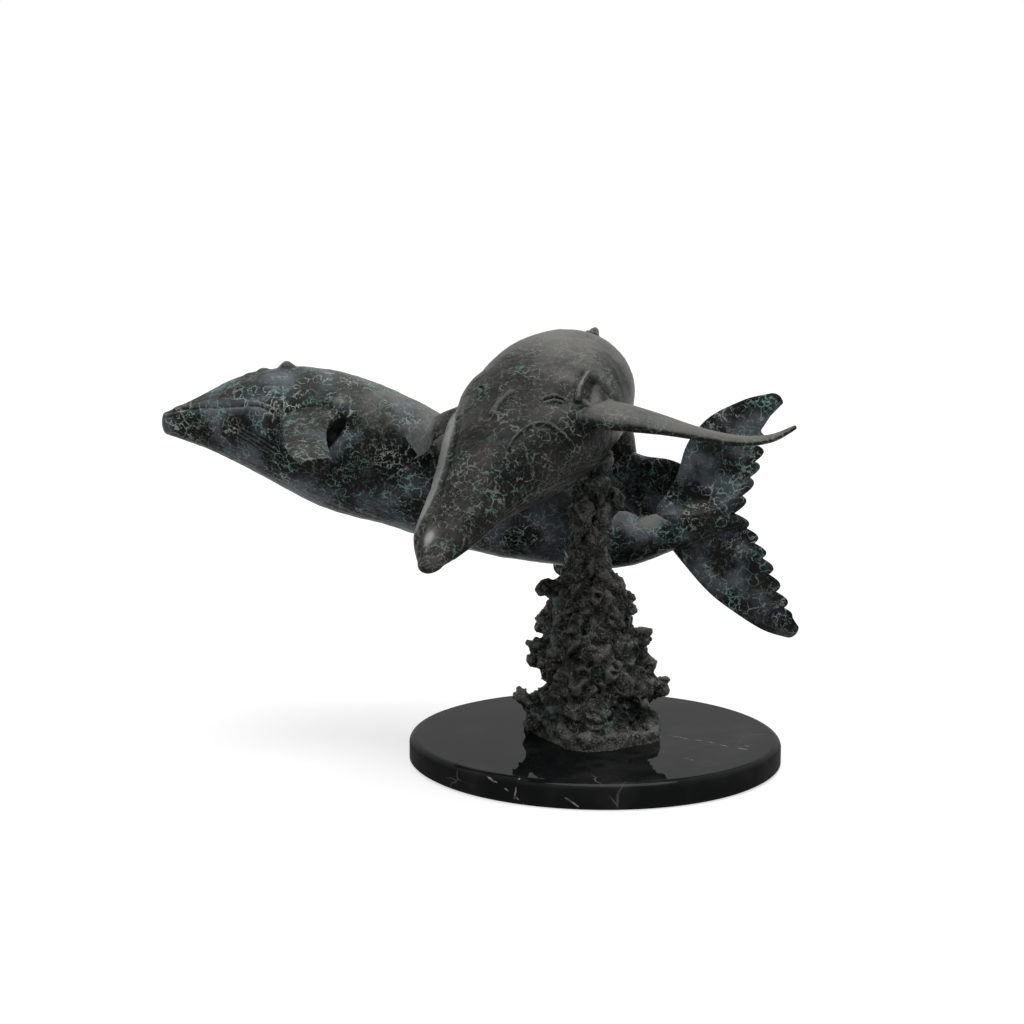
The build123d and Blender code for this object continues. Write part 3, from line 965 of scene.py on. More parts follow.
        flat = points.reshape(-1, 3)
        outward = np.sign(np.sin(angle))[None, :, None] * face[None, None, :] * np.ones_like(points)
        flare = self.skin.flare(flat, self.weld_radius)
        body = np.abs(np.sin(angle))[None, :] * np.ones(len(spans))[:, None]
        rough = SpaceNoise(self.seed, 10.0)(flat) * 0.4 + SpaceNoise(self.seed + 1, 3.4)(flat) * 0.16
        push = (flare * 0.8 + rough) * body.reshape(-1)
        moved = flat + outward.reshape(-1, 3) * push[:, None]
        rings = moved.reshape(points.shape)
        form = closed_tube(rings)
        form.relief = with_caps(grid_relief(rings, 2))
        form.dust = self.dust
        return form


@dataclass
class Whale:
    """One humpback: head, body, flippers, dorsal fin and flukes."""

    name: str
    skin: WhaleSkin
    seam: float
    mouth: Rows
    creases: list[Crease]
    swells: list[Swell]
    pleat_span: tuple[float, float]
    blades: dict[str, Blade]
    flukes: Flukes
    seed: int
    lip_shelf: Rows = field(default_factory=list)
    shelf_height: float = 2.4
    shelf_width: float = 11.0
    gutter_depth: float = 1.2
    lip_height: float = 1.2
    mouth_depth: float = 1.2
    rostrum_inset: float = 0.8
    pleat_depth: float = 0.9
    pleat_step: float = 8.0
    columns: int = 320
    fine_gap: float = 1.0
    coarse_gap: float = 2.0
    fine_until: float = 0.48
    dust_rise: tuple[float, float, float] = (0.37, 0.52, 0.10)
    dust_slant: float = 0.0022
    # Spots of painted light as rows of middle fraction, angle, length, spread and amount: a positive amount
    # is a highlight, a negative one is shade.
    painted_light_spots: Rows = field(default_factory=list)
    # How pale the lip shelf is painted, a painted highlight.
    shelf_highlight: float = 1.38
    polish: float = 0.0
    fluke_polish: float = 0.9
    flipper_polish: float = 0.4
    seam_row: int = field(init=False)
    fraction: Array = field(init=False)
    turned: Array = field(init=False)
    shelf_mask: Array = field(init=False)

    def rows_along(self) -> Array:
        """Return distances along the spine for the rings, with one ring on the seam."""
        seam = self.seam * self.skin.length
        fine_end = self.fine_until * self.skin.length
        reach = self.skin.nose_reach
        turn = np.linspace(0.06, math.pi / 2, 24)
        nose = -reach + (reach + self.skin.nose_round) * (1.0 - np.cos(turn))
        head = np.linspace(nose[-1], seam, int((seam - nose[-1]) / self.fine_gap))[1:]
        chest = np.linspace(seam, fine_end, int((fine_end - seam) / self.fine_gap))[1:]
        tail_steps = int((self.skin.length - fine_end) / self.coarse_gap)
        tail = np.linspace(fine_end, self.skin.length, tail_steps)[1:]
        self.seam_row = len(nose) + len(head) - 1
        return np.concatenate([nose, head, chest, tail])

    def sculpt(self) -> Array:
        """Return the rings of the whole skin with its relief."""
        places = self.rows_along()
        degrees = np.linspace(0.0, 360.0, self.columns, endpoint=False)
        place_grid, degree_grid = np.meshgrid(places, degrees, indexing="ij")
        plain = self.skin.surface(place_grid, degree_grid)
        along = np.gradient(plain, axis=0)
        around = np.roll(plain, -1, axis=1) - np.roll(plain, 1, axis=1)
        normal = unit(np.cross(around, along))
        centre = self.skin.sections(places)["centre"]
        outward = np.sign(((plain - centre[:, None, :]) * normal).sum(axis=-1).mean())
        normal = normal * outward
        points = plain.reshape(-1, 3)
        fraction = (place_grid / self.skin.length).reshape(-1)
        turned = (degree_grid - self.skin.midline_angle(fraction.reshape(place_grid.shape))).reshape(-1)
        turned = (turned + 180.0) % 360.0 - 180.0
        self.fraction = fraction
        self.turned = turned

        lift = np.zeros(len(points))
        lift += self._mouth_relief(points, fraction, turned)
        lift += self._shelf(points, fraction, turned)
        lift += self._pleats(fraction, turned)
        for crease in self.creases:
            for side in crease.sides:
                gap = distance_to_path(points, self.skin.on_path(crease.path, side))
                lift += crease.height * np.exp(-((gap / crease.width) ** 2))
        for swell in self.swells:
            for side in swell.sides:
                where = self.skin.midline_angle(np.array(swell.fraction)) + side.value * swell.angle
                spot = self.skin.surface(np.array([swell.fraction * self.skin.length]), np.array([where]))
                gap = np.linalg.norm(points - spot, axis=1) / swell.radius
                lift += swell.height * np.clip(1.0 - gap**2, 0.0, 1.0) ** 2
        lift += SpaceNoise(self.seed, 26.0)(points) * 0.7
        lift += SpaceNoise(self.seed + 1, 8.0)(points) * 0.30
        lift += SpaceNoise(self.seed + 2, 3.0)(points) * 0.16
        lift *= smooth_step(fraction * self.skin.length, -self.skin.nose_reach, 6.0)
        return plain + normal * lift.reshape(place_grid.shape)[..., None]

    def skin_dust_and_painted_light(self) -> Array:
        """Return the dust on each point of the skin: above 1 is a painted highlight, and below 0 is painted
        shade.
        """
        low, high, least = self.dust_rise
        slant = self.fraction + self.dust_slant * np.clip(self.turned, -45.0, 45.0)
        dust = least + (1.0 - least) * smooth_step(slant, low, high)
        for middle, angle, length, spread, amount in self.painted_light_spots:
            away = ((self.fraction - middle) / length) ** 2 + ((self.turned - angle) / spread) ** 2
            near = np.exp(-away)
            # A positive amount paints a highlight as dust above 1; a negative one paints shade as dust
            # below 0.
            if amount > 0:
                dust = np.maximum(dust, (1.0 + amount) * near)
            else:
                dust = dust * (1.0 - near) + amount * near
        # The lip shelf is painted pale, a painted highlight.
        shelf_highlit = np.maximum(dust, self.shelf_mask * self.shelf_highlight)
        return np.where(self.shelf_mask > 0.0, shelf_highlit, dust)

    def _mouth_relief(self, points: Array, fraction: Array, turned: Array) -> Array:
        """Return the lift of the mouth: a groove, a lip under it and a rostrum set back above it."""
        if not self.mouth:
            return np.zeros(len(points))
        rows = np.array(self.mouth, float)
        corner = rows[-1, 0]
        near = fraction < corner + 0.06
        lift = np.zeros(len(points))
        gap = np.full(len(points), 1e9)
        for side in Side:
            path = self.skin.on_path(self.mouth, side)
            gap[near] = np.minimum(gap[near], distance_to_path(points[near], path))
        line = np.interp(fraction, rows[:, 0], rows[:, 1])
        below = smooth_step(np.abs(turned) - line, -2.0, 2.0)
        inside = smooth_step(fraction, corner + 0.02, corner - 0.03)
        lift -= self.mouth_depth * np.exp(-((gap / 1.5) ** 2))
        lift += self.lip_height * below * np.exp(-(((gap - 4.5) / 4.0) ** 2)) * inside
        lift += 0.5 * self.lip_height * (1.0 - below) * np.exp(-(((gap - 3.6) / 2.2) ** 2)) * inside
        lift -= self.rostrum_inset * (1.0 - below) * inside * smooth_step(gap, 3.0, 9.0)
        return lift

    def _shelf(self, points: Array, fraction: Array, turned: Array) -> Array:
        """Return the lift of the flat lip that runs down the right of the jaw."""
        self.shelf_mask = np.zeros(len(points))
        if not self.lip_shelf:
            return self.shelf_mask
        rows = np.array(self.lip_shelf, float)
        dense = NaturalSpline(np.arange(len(rows)), rows)(np.linspace(0, len(rows) - 1, 200))
        gap = distance_to_path(points, self.skin.on_path(self.lip_shelf, Side.RIGHT))
        line = np.interp(fraction, dense[:, 0], dense[:, 1])
        beyond = smooth_step(gap * np.sign(-turned - line), -1.6, 1.6)
        fall = smooth_step(gap, 1.7 * self.shelf_width, self.shelf_width)
        ends = smooth_step(fraction, rows[0, 0] - 0.01, rows[0, 0] + 0.03)
        ends = ends * smooth_step(fraction, rows[-1, 0] + 0.01, rows[-1, 0] - 0.04)
        self.shelf_mask = beyond * fall * ends
        gutter = self.gutter_depth * np.exp(-(((gap - 3.0) / 3.0) ** 2)) * (1.0 - beyond) * ends
        return self.shelf_mask * self.shelf_height - gutter

    def _pleats(self, fraction: Array, turned: Array) -> Array:
        """Return the lift of the long pleats of the throat and belly."""
        belly = 180.0 - np.abs(turned)
        wave = np.abs(((belly / self.pleat_step) % 1.0) - 0.5) * 2.0
        groove = -self.pleat_depth * smooth_step(wave, 0.72, 1.0)
        start, end = self.pleat_span
        window = smooth_step(fraction, start, start + 0.05) * smooth_step(fraction, end, end - 0.12)
        return groove * window * smooth_step(belly, 86.0, 74.0)

    def build(self, material: bpy.types.Material) -> list[bpy.types.Object]:
        """Return the dressed pieces of the whale."""
        rings = self.sculpt()
        relief = grid_relief(rings)
        dust = self.skin_dust_and_painted_light().reshape(relief.shape)
        parts = {"flukes": self.flukes.build()}
        for part, rows in (("head", slice(0, self.seam_row + 1)), ("body", slice(self.seam_row, None))):
            parts[part] = closed_tube(rings[rows])
            parts[part].relief = with_caps(relief[rows])
            parts[part].dust = with_caps(dust[rows])
        for part, blade in self.blades.items():
            parts[part] = blade.build()
        pieces = []
        for part, form in parts.items():
            form.polish = self._polish_of(part)
            node = f"{self.name}_{part}"
            pieces.append(form.to_piece(f"{node}_bronze", node, "bronze", material))
        return pieces

    def _polish_of(self, part: str) -> float:
        """Return the polish of a part, which sets its painted sheen, its darker tone and how strongly its
        lines show: the flukes get the most, and flippers less than the body.
        """
        if part == "flukes":
            return max(self.polish, self.fluke_polish)
        if "flipper" in part:
            return self.flipper_polish * self.polish
        return self.polish


@dataclass
class CoralPedestal:
    """The coral foot: plinth, core, fingers, knobs and boulders, roughened by a node tree.

    The measures are those of the part's source, in millimetres and from the top of the slab.
    """

    slab_top: float
    plinth_corners: Rows = field(
        default_factory=lambda: [
            (-60, 11), (-21, -58), (-5, -66), (13, -59), (53, -28),
            (55, -8), (48, 34), (18, 54), (-26, 52), (-54, 36),
        ]
    )
    plinth_height: float = 12.0
    core_rows: Rows = field(
        default_factory=lambda: [
            (0, -2, -2, 46, 50), (14, -2, -1, 49, 50), (30, 1, 0, 47, 48), (46, 2, 0, 44, 46),
            (62, -1, 1, 42, 45), (80, -4, 3, 40, 43), (95, -7, 5, 37, 42), (110, -6, 8, 35, 42),
            (124, -6, 8, 29, 40), (138, -6, 3, 22, 34), (152, -6, -4, 19, 28), (168, -6, -8, 18, 24),
            (184, -6, -9, 18, 22), (201, -6, -10, 18, 21), (218, -7, -10, 20, 21), (236, -8, -10, 22, 22),
        ]
    )
    core_inset: float = 2.0
    fingers: list[tuple] = field(
        default_factory=lambda: [
            ((-22, -6, 124), (-40, -8, 119), 13, 9),
            ((-34, -8, 73), (-52, -10, 74), 12, 6),
            ((-44, -10, 16), (-60, -10, 33), 13, 7),
            ((36, -8, 40), (52, -8, 42), 13, 10),
            ((28, -8, 82), (42, -8, 82), 10, 6.5),
        ]
    )
    knobs: list[tuple] = field(
        default_factory=lambda: [
            ((-38, -6, 91), 11.5), ((-44, -6, 62), 10.5), ((-40, -4, 49), 7), ((-50, -8, 9), 10),
            ((43, -2, 56), 8), ((38, 0, 68), 8), ((26, -6, 104), 9.5), ((16, -6, 122), 9),
            ((13, -4, 131), 8), ((45, -6, 10), 10), ((11, -4, 192), 13), ((-14, -16, 152), 12),
            ((2, -22, 138), 12),
        ]
    )
    boulder_count: int = 24
    boulder_turn: float = 137.5
    boulder_start: float = 10.0
    boulder_rise: float = 4.7
    boulder_radii: tuple[float, ...] = (12, 14, 10, 13, 11)
    boulder_stand: float = 5.0
    nodule_gap: float = 0.028
    nodule_least: float = 0.0025
    nodule_most: float = 0.0055
    fold_depth: float = 0.0045
    melt_rounds: int = 14
    voxel: float = 0.0012
    relief_rounds: int = 36
    dust: float = 0.8
    polish: float = 1.0
    seed: int = 11

    def seed_mesh(self) -> bpy.types.Mesh:
        """Return plinth, core, fingers, knobs and boulders as overlapping closed shells, in metres."""
        forms = [self._plinth(), self._core()]
        for start, end, thick, thin in self.fingers:
            forms.append(self._finger(np.array(start, float), np.array(end, float), thick, thin))
        for centre, radius in self.knobs + self.boulders():
            low = np.array(centre, float)
            forms.append(self._finger(low, low + np.array([0.0, 0.0, 0.1]), radius, radius))
        points = []
        faces = []
        start = 0
        for form in forms:
            points.append(form.points)
            faces.extend(tuple(index + start for index in face) for face in form.faces)
            start += len(form.points)
        mesh = bpy.data.meshes.new("coral_core")
        mesh.from_pydata((np.concatenate(points) * MM).tolist(), [], faces)
        return mesh

    def boulders(self) -> list[tuple[Point, float]]:
        """Return centre and radius of the boulders, which wind up the core."""
        table = np.array(self.core_rows, float)
        placed = []
        for index in range(self.boulder_count):
            height = self.boulder_start + index * self.boulder_rise
            radius = self.boulder_radii[index % len(self.boulder_radii)]
            row = [np.interp(height, table[:, 0], table[:, column]) for column in range(1, 5)]
            x, y, half_width, half_depth = row
            turn = math.radians(index * self.boulder_turn)
            sunk = radius - self.boulder_stand
            x += (half_width - sunk) * math.cos(turn)
            y += (half_depth - sunk) * math.sin(turn)
            placed.append(((x, y, height), radius))
        return placed

    def _plinth(self) -> Form:
        """Return the cornered plinth on the slab."""
        corners = np.array(self.plinth_corners + self.plinth_corners[:1], float)
        runs = chain_lengths(corners)
        around = np.linspace(0.0, runs[-1], 120, endpoint=False)
        outline = np.stack([np.interp(around, runs, corners[:, axis]) for axis in range(2)], axis=-1)
        middle = outline.mean(axis=0)
        rings = []
        for height, scale in ((-8.0, 1.0), (0.5 * self.plinth_height, 1.0), (self.plinth_height, 0.97)):
            level = np.full((len(outline), 1), height + self.slab_top)
            rings.append(np.concatenate([middle + (outline - middle) * scale, level], axis=1))
        return closed_tube(np.stack(rings))

    def _core(self) -> Form:
        """Return the core as a tube of ellipses that reaches below the slab top."""
        table = np.array(self.core_rows, float)
        spline = NaturalSpline(table[:, 0], table[:, 1:])
        heights = np.concatenate([[-8.0], np.linspace(0.0, table[-1, 0], 90)])
        rows = spline(np.maximum(heights, 0.0))
        angle = np.linspace(0.0, 2 * math.pi, 72, endpoint=False)
        spread = rows[:, 0:1] + (rows[:, 2:3] - self.core_inset) * np.cos(angle)[None, :]
        depth = rows[:, 1:2] + (rows[:, 3:4] - self.core_inset) * np.sin(angle)[None, :]
        rise = np.broadcast_to(heights[:, None] + self.slab_top, spread.shape)
        return closed_tube(np.stack([spread, depth, rise], axis=-1))

    def _finger(self, start: Array, end: Array, thick: float, thin: float) -> Form:
        """Return a tapered finger with round ends.

        Args:
            start: Middle of the thick end.
            end: Middle of the thin end.
            thick: Radius of the thick end.
            thin: Radius of the thin end.

        Returns:
            The finger as a closed form.
        """
        axis = unit(end - start)
        side = unit(np.cross(axis, np.array([0.3, 0.5, 0.81])))
        other = np.cross(axis, side)
        turn = np.linspace(0.04, math.pi / 2, 9)
        length = float(np.linalg.norm(end - start))
        shift = np.concatenate([-thick * np.cos(turn), length + thin * np.cos(turn[::-1])])
        radius = np.concatenate([thick * np.sin(turn), thin * np.sin(turn[::-1])])
        angle = np.linspace(0.0, 2 * math.pi, 28, endpoint=False)
        ring = side[None, :] * np.cos(angle)[:, None] + other[None, :] * np.sin(angle)[:, None]
        centres = start + axis * shift[:, None] + np.array([0.0, 0.0, self.slab_top])
        return closed_tube(centres[:, None, :] + ring[None, :, :] * radius[:, None, None])

    def growth_tree(self) -> bpy.types.NodeTree:
        """Return the node tree that grows nodules and folds on the core."""
        tree = bpy.data.node_groups.new("coral_growth", "GeometryNodeTree")
        tree.interface.new_socket("Geometry", in_out="INPUT", socket_type="NodeSocketGeometry")
        for name in ("Nodule gap", "Nodule least", "Nodule most", "Fold depth", "Voxel"):
            tree.interface.new_socket(name, in_out="INPUT", socket_type="NodeSocketFloat")
        for name in ("Seed", "Melt rounds"):
            tree.interface.new_socket(name, in_out="INPUT", socket_type="NodeSocketInt")
        tree.interface.new_socket("Finish", in_out="INPUT", socket_type="NodeSocketMaterial")
        tree.interface.new_socket("Geometry", in_out="OUTPUT", socket_type="NodeSocketGeometry")
        graph = Graph(tree)
        given = tree.nodes.new("NodeGroupInput")
        sockets = [Value(graph, socket) for socket in given.outputs[:9]]
        core, gap, least, most, depth, voxel, seed, rounds, finish = sockets

        points = graph.node(
            "GeometryNodeDistributePointsOnFaces",
            {"distribute_method": "POISSON"},
            {"Mesh": core, "Distance Min": gap, "Density Max": 40000.0, "Seed": seed},
        )
        ball = graph.node("GeometryNodeMeshIcoSphere", {}, {"Radius": 1.0, "Subdivisions": 3})
        drawn = {2: least, 3: most, "Seed": seed}
        size = graph.node("FunctionNodeRandomValue", {"data_type": "FLOAT"}, drawn, 1)
        placed = {"Points": points, "Instance": ball, "Scale": size}
        nodules = graph.node("GeometryNodeInstanceOnPoints", {}, placed)
        nodules = graph.node("GeometryNodeRealizeInstances", {}, {0: nodules})
        joined = tree.nodes.new("GeometryNodeJoinGeometry")
        tree.links.new(nodules.socket, joined.inputs[0])
        tree.links.new(core.socket, joined.inputs[0])
        fog = graph.node(
            "GeometryNodeMeshToVolume",
            {"resolution_mode": "VOXEL_SIZE"},
            {"Mesh": Value(graph, joined.outputs[0]), "Voxel Size": voxel, "Interior Band Width": 0.004},
        )
        skin = graph.node("GeometryNodeVolumeToMesh", {}, {"Volume": fog, "Threshold": 0.1})
        place = graph.node("GeometryNodeInputPosition", {}, {})
        averaged = {"Value": place, "Iterations": rounds}
        blurred = graph.node("GeometryNodeBlurAttribute", {"data_type": "FLOAT_VECTOR"}, averaged)
        melted = graph.node("GeometryNodeSetPosition", {}, {"Geometry": skin, "Position": blurred})
        offset = self._growth(graph, depth)
        shaped = graph.node("GeometryNodeSetPosition", {}, {"Geometry": melted, "Offset": offset})
        whole = graph.node("GeometryNodeRealizeInstances", {}, {0: shaped})
        dressed = graph.node("GeometryNodeSetMaterial", {}, {"Geometry": whole, "Material": finish})
        leave = tree.nodes.new("NodeGroupOutput")
        tree.links.new(dressed.socket, leave.inputs[0])
        return tree

    def _growth(self, graph: Graph, depth: Value) -> Value:
        """Return how far each point moves: a sway, rocks with crevices, folds, pits and grain."""
        place = graph.node("GeometryNodeInputPosition", {}, {})
        normal = graph.node("GeometryNodeInputNormal", {}, {})
        level = graph.node("ShaderNodeSeparateXYZ", {}, {0: place}, 2)
        plinth_top = (self.slab_top + self.plinth_height) * MM
        above = level.step(plinth_top - 0.006, plinth_top + 0.008) * 0.75 + 0.25
        sway = graph.vector("SUBTRACT", graph.noise(place, 62.0, 2.0, 1), (0.5, 0.5, 0.5))
        warped = graph.warped(place, 60.0, 0.018)
        finely = graph.warped(place, 150.0, 0.007)
        rocks = graph.cells(warped, 48.0, "DISTANCE_TO_EDGE").step(0.0, 0.30)
        stones = graph.cells(finely, 105.0, "DISTANCE_TO_EDGE").step(0.0, 0.26)
        shown = graph.noise(place, 42.0, 2.0).step(0.42, 0.60)
        folds = (graph.noise(warped, 105.0, 3.0) - 0.5).size()
        pitted = graph.noise(place, 50.0, 1.0).step(0.50, 0.57)
        pits = graph.cells(finely, 85.0, "F1").step(0.36, 0.10) * pitted
        grain = graph.noise(finely, 330.0, 3.0) - 0.5
        lift = (rocks * 1.05 - 0.70) + (stones * 0.40 - 0.28) * shown + (0.20 - folds * 1.9)
        lift = lift - pits * 1.2 + grain * 0.30
        lifted = graph.scaled(normal, lift * depth * above)
        return graph.vector("ADD", lifted, graph.scaled(sway, depth * above * 1.6))

    def build(self, material: bpy.types.Material) -> bpy.types.Object:
        """Return the dressed pedestal."""
        holder = bpy.data.objects.new("coral_growing", self.seed_mesh())
        bpy.context.scene.collection.objects.link(holder)
        modifier = holder.modifiers.new("growth", "NODES")
        tree = self.growth_tree()
        values = {
            "Nodule gap": self.nodule_gap,
            "Nodule least": self.nodule_least,
            "Nodule most": self.nodule_most,
            "Fold depth": self.fold_depth,
            "Voxel": self.voxel,
            "Seed": self.seed,
            "Melt rounds": self.melt_rounds,
            "Finish": material,
        }
        modifier.node_group = tree
        for item in tree.interface.items_tree:
            if item.in_out == "INPUT" and item.name in values:
                modifier[item.identifier] = values[item.name]
        graph = bpy.context.evaluated_depsgraph_get()
        mesh = bpy.data.meshes.new_from_object(holder.evaluated_get(graph))
        bpy.data.objects.remove(holder)
        self._cut_foot(mesh)
        write_relief(mesh, self.relief_rounds)
        write_values(mesh, "dust", np.full(len(mesh.vertices), self.dust))
        write_values(mesh, "polish", np.full(len(mesh.vertices), self.polish))
        return dress(mesh, "coral_pedestal_bronze", "coral_pedestal", material)

    def _cut_foot(self, mesh: bpy.types.Mesh) -> None:
        """Cut the coral flat at the slab, close it and keep its largest shell."""
        work = bmesh.new()
        work.from_mesh(mesh)
        level = (0.0, 0.0, self.slab_top * MM)
        everything = work.verts[:] + work.edges[:] + work.faces[:]
        bmesh.ops.bisect_plane(work, geom=everything, plane_co=level, plane_no=(0, 0, 1), clear_inner=True)
        self._keep_largest(work)
        open_edges = [edge for edge in work.edges if edge.is_boundary]
        bmesh.ops.holes_fill(work, edges=open_edges, sides=0)
        filled = [face for face in work.faces if len(face.verts) > 4]
        bmesh.ops.triangulate(work, faces=filled)
        work.to_mesh(mesh)
        work.free()

    def _keep_largest(self, work: bmesh.types.BMesh) -> None:
        """Remove every shell but the one with the most faces."""
        seen: set = set()
        shells = []
        for start in work.faces:
            if start in seen:
                continue
            shell = {start}
            front = [start]
            while front:
                face = front.pop()
                for edge in face.edges:
                    for beside in edge.link_faces:
                        if beside not in shell:
                            shell.add(beside)
                            front.append(beside)
            seen |= shell
            shells.append(shell)
        largest = max(shells, key=len)
        spare = [face for shell in shells if shell is not largest for face in shell]
        bmesh.ops.delete(work, geom=spare, context="FACES")


@dataclass
class Studio:
    """Camera, pale floor, white backdrop and soft light."""

    camera_place: Point = (0.0, -1.255, 0.3405)
    yaw: float = -3.13
    pitch: float = 6.25
    roll: float = 0.17
    focal_pixels: float = 1548.0
    image_pixels: float = 1024.0
    sensor: float = 36.0
    ambient: float = 0.22
    floor_half: float = 20.0
    floor_tone: float = 0.42
    floor_glow: float = 0.66

    def build(self) -> None:
        """Set up the camera, the light and the floor."""
        self._camera()
        self._world()
        self._floor()
        self._sun("overhead_light", (0.10, -0.16, 1.0), 2.6, 50.0)
        self._sun("front_light", (-0.55, -1.0, 0.75), 0.35, 40.0)
        bpy.context.scene.view_settings.view_transform = "Standard"

    def _camera(self) -> None:
        """Place the camera as in the photograph."""
        yaw, pitch, roll = (math.radians(angle) for angle in (self.yaw, self.pitch, self.roll))
        ahead = math.cos(pitch)
        forward = Vector((math.sin(yaw) * ahead, math.cos(yaw) * ahead, -math.sin(pitch)))
        level = Vector((math.cos(yaw), -math.sin(yaw), 0.0))
        upright = level.cross(forward)
        right = level * math.cos(roll) + upright * math.sin(roll)
        up = upright * math.cos(roll) - level * math.sin(roll)
        data = bpy.data.cameras.new("photo_camera")
        data.sensor_width = self.sensor
        data.lens = self.focal_pixels / self.image_pixels * self.sensor
        camera = bpy.data.objects.new("photo_camera", data)
        turn = Matrix((right, up, -forward)).transposed().to_4x4()
        camera.matrix_world = Matrix.Translation(Vector(self.camera_place)) @ turn
        bpy.context.scene.collection.objects.link(camera)
        bpy.context.scene.camera = camera

    def _world(self) -> None:
        """Show white behind the object, and light it with an even grey."""
        world = bpy.data.worlds.new("studio_world")
        world.use_nodes = True
        bpy.context.scene.world = world
        graph = Graph(world.node_tree)
        strength = self.ambient + self._shown(graph) * (1.0 - self.ambient)
        background = world.node_tree.nodes["Background"]
        background.inputs["Color"].default_value = (1.0, 1.0, 1.0, 1.0)
        world.node_tree.links.new(strength.socket, background.inputs["Strength"])

    def _floor(self) -> None:
        """Lay a plain pale floor that shows white and keeps the shadow."""
        material, graph, shader = new_material("pale_floor")
        shader.inputs["Base Color"].default_value = (*[self.floor_tone] * 3, 1.0)
        shader.inputs["Roughness"].default_value = 0.9
        shader.inputs["Specular IOR Level"].default_value = 0.0
        glow = graph.mix(self._shown(graph), (0.0, 0.0, 0.0), (1.0, 1.0, 1.0))
        material.node_tree.links.new(glow.socket, shader.inputs["Emission Color"])
        shader.inputs["Emission Strength"].default_value = self.floor_glow
        mesh = bpy.data.meshes.new("floor")
        half = self.floor_half
        corners = [(-half, -half, 0), (half, -half, 0), (half, half, 0), (-half, half, 0)]
        mesh.from_pydata(corners, [], [(0, 1, 2, 3)])
        mesh.materials.append(material)
        floor = bpy.data.objects.new("floor", mesh)
        bpy.context.scene.collection.objects.link(floor)

    def _shown(self, graph: Graph) -> Value:
        """Return 1 for rays that show the backdrop, and 0 for rays that only carry light."""
        shown = graph.node("ShaderNodeLightPath", {}, {}, "Is Camera Ray")
        for ray in ("Is Glossy Ray", "Is Transmission Ray"):
            shown = shown.most(graph.node("ShaderNodeLightPath", {}, {}, ray))
        return shown

    def _sun(self, name: str, towards: Point, strength: float, spread: float) -> None:
        """Hang a soft, distant lamp.

        Args:
            name: Name of the lamp.
            towards: Direction from the object to the lamp.
            strength: Light that reaches a surface that faces it.
            spread: Angle that the lamp's face fills, in degrees.
        """
        data = bpy.data.lights.new(name, "SUN")
        data.energy = strength
        data.angle = math.radians(spread)
        lamp = bpy.data.objects.new(name, data)
        lamp.rotation_euler = (-Vector(towards)).to_track_quat("-Z", "Y").to_euler()
        bpy.context.scene.collection.objects.link(lamp)


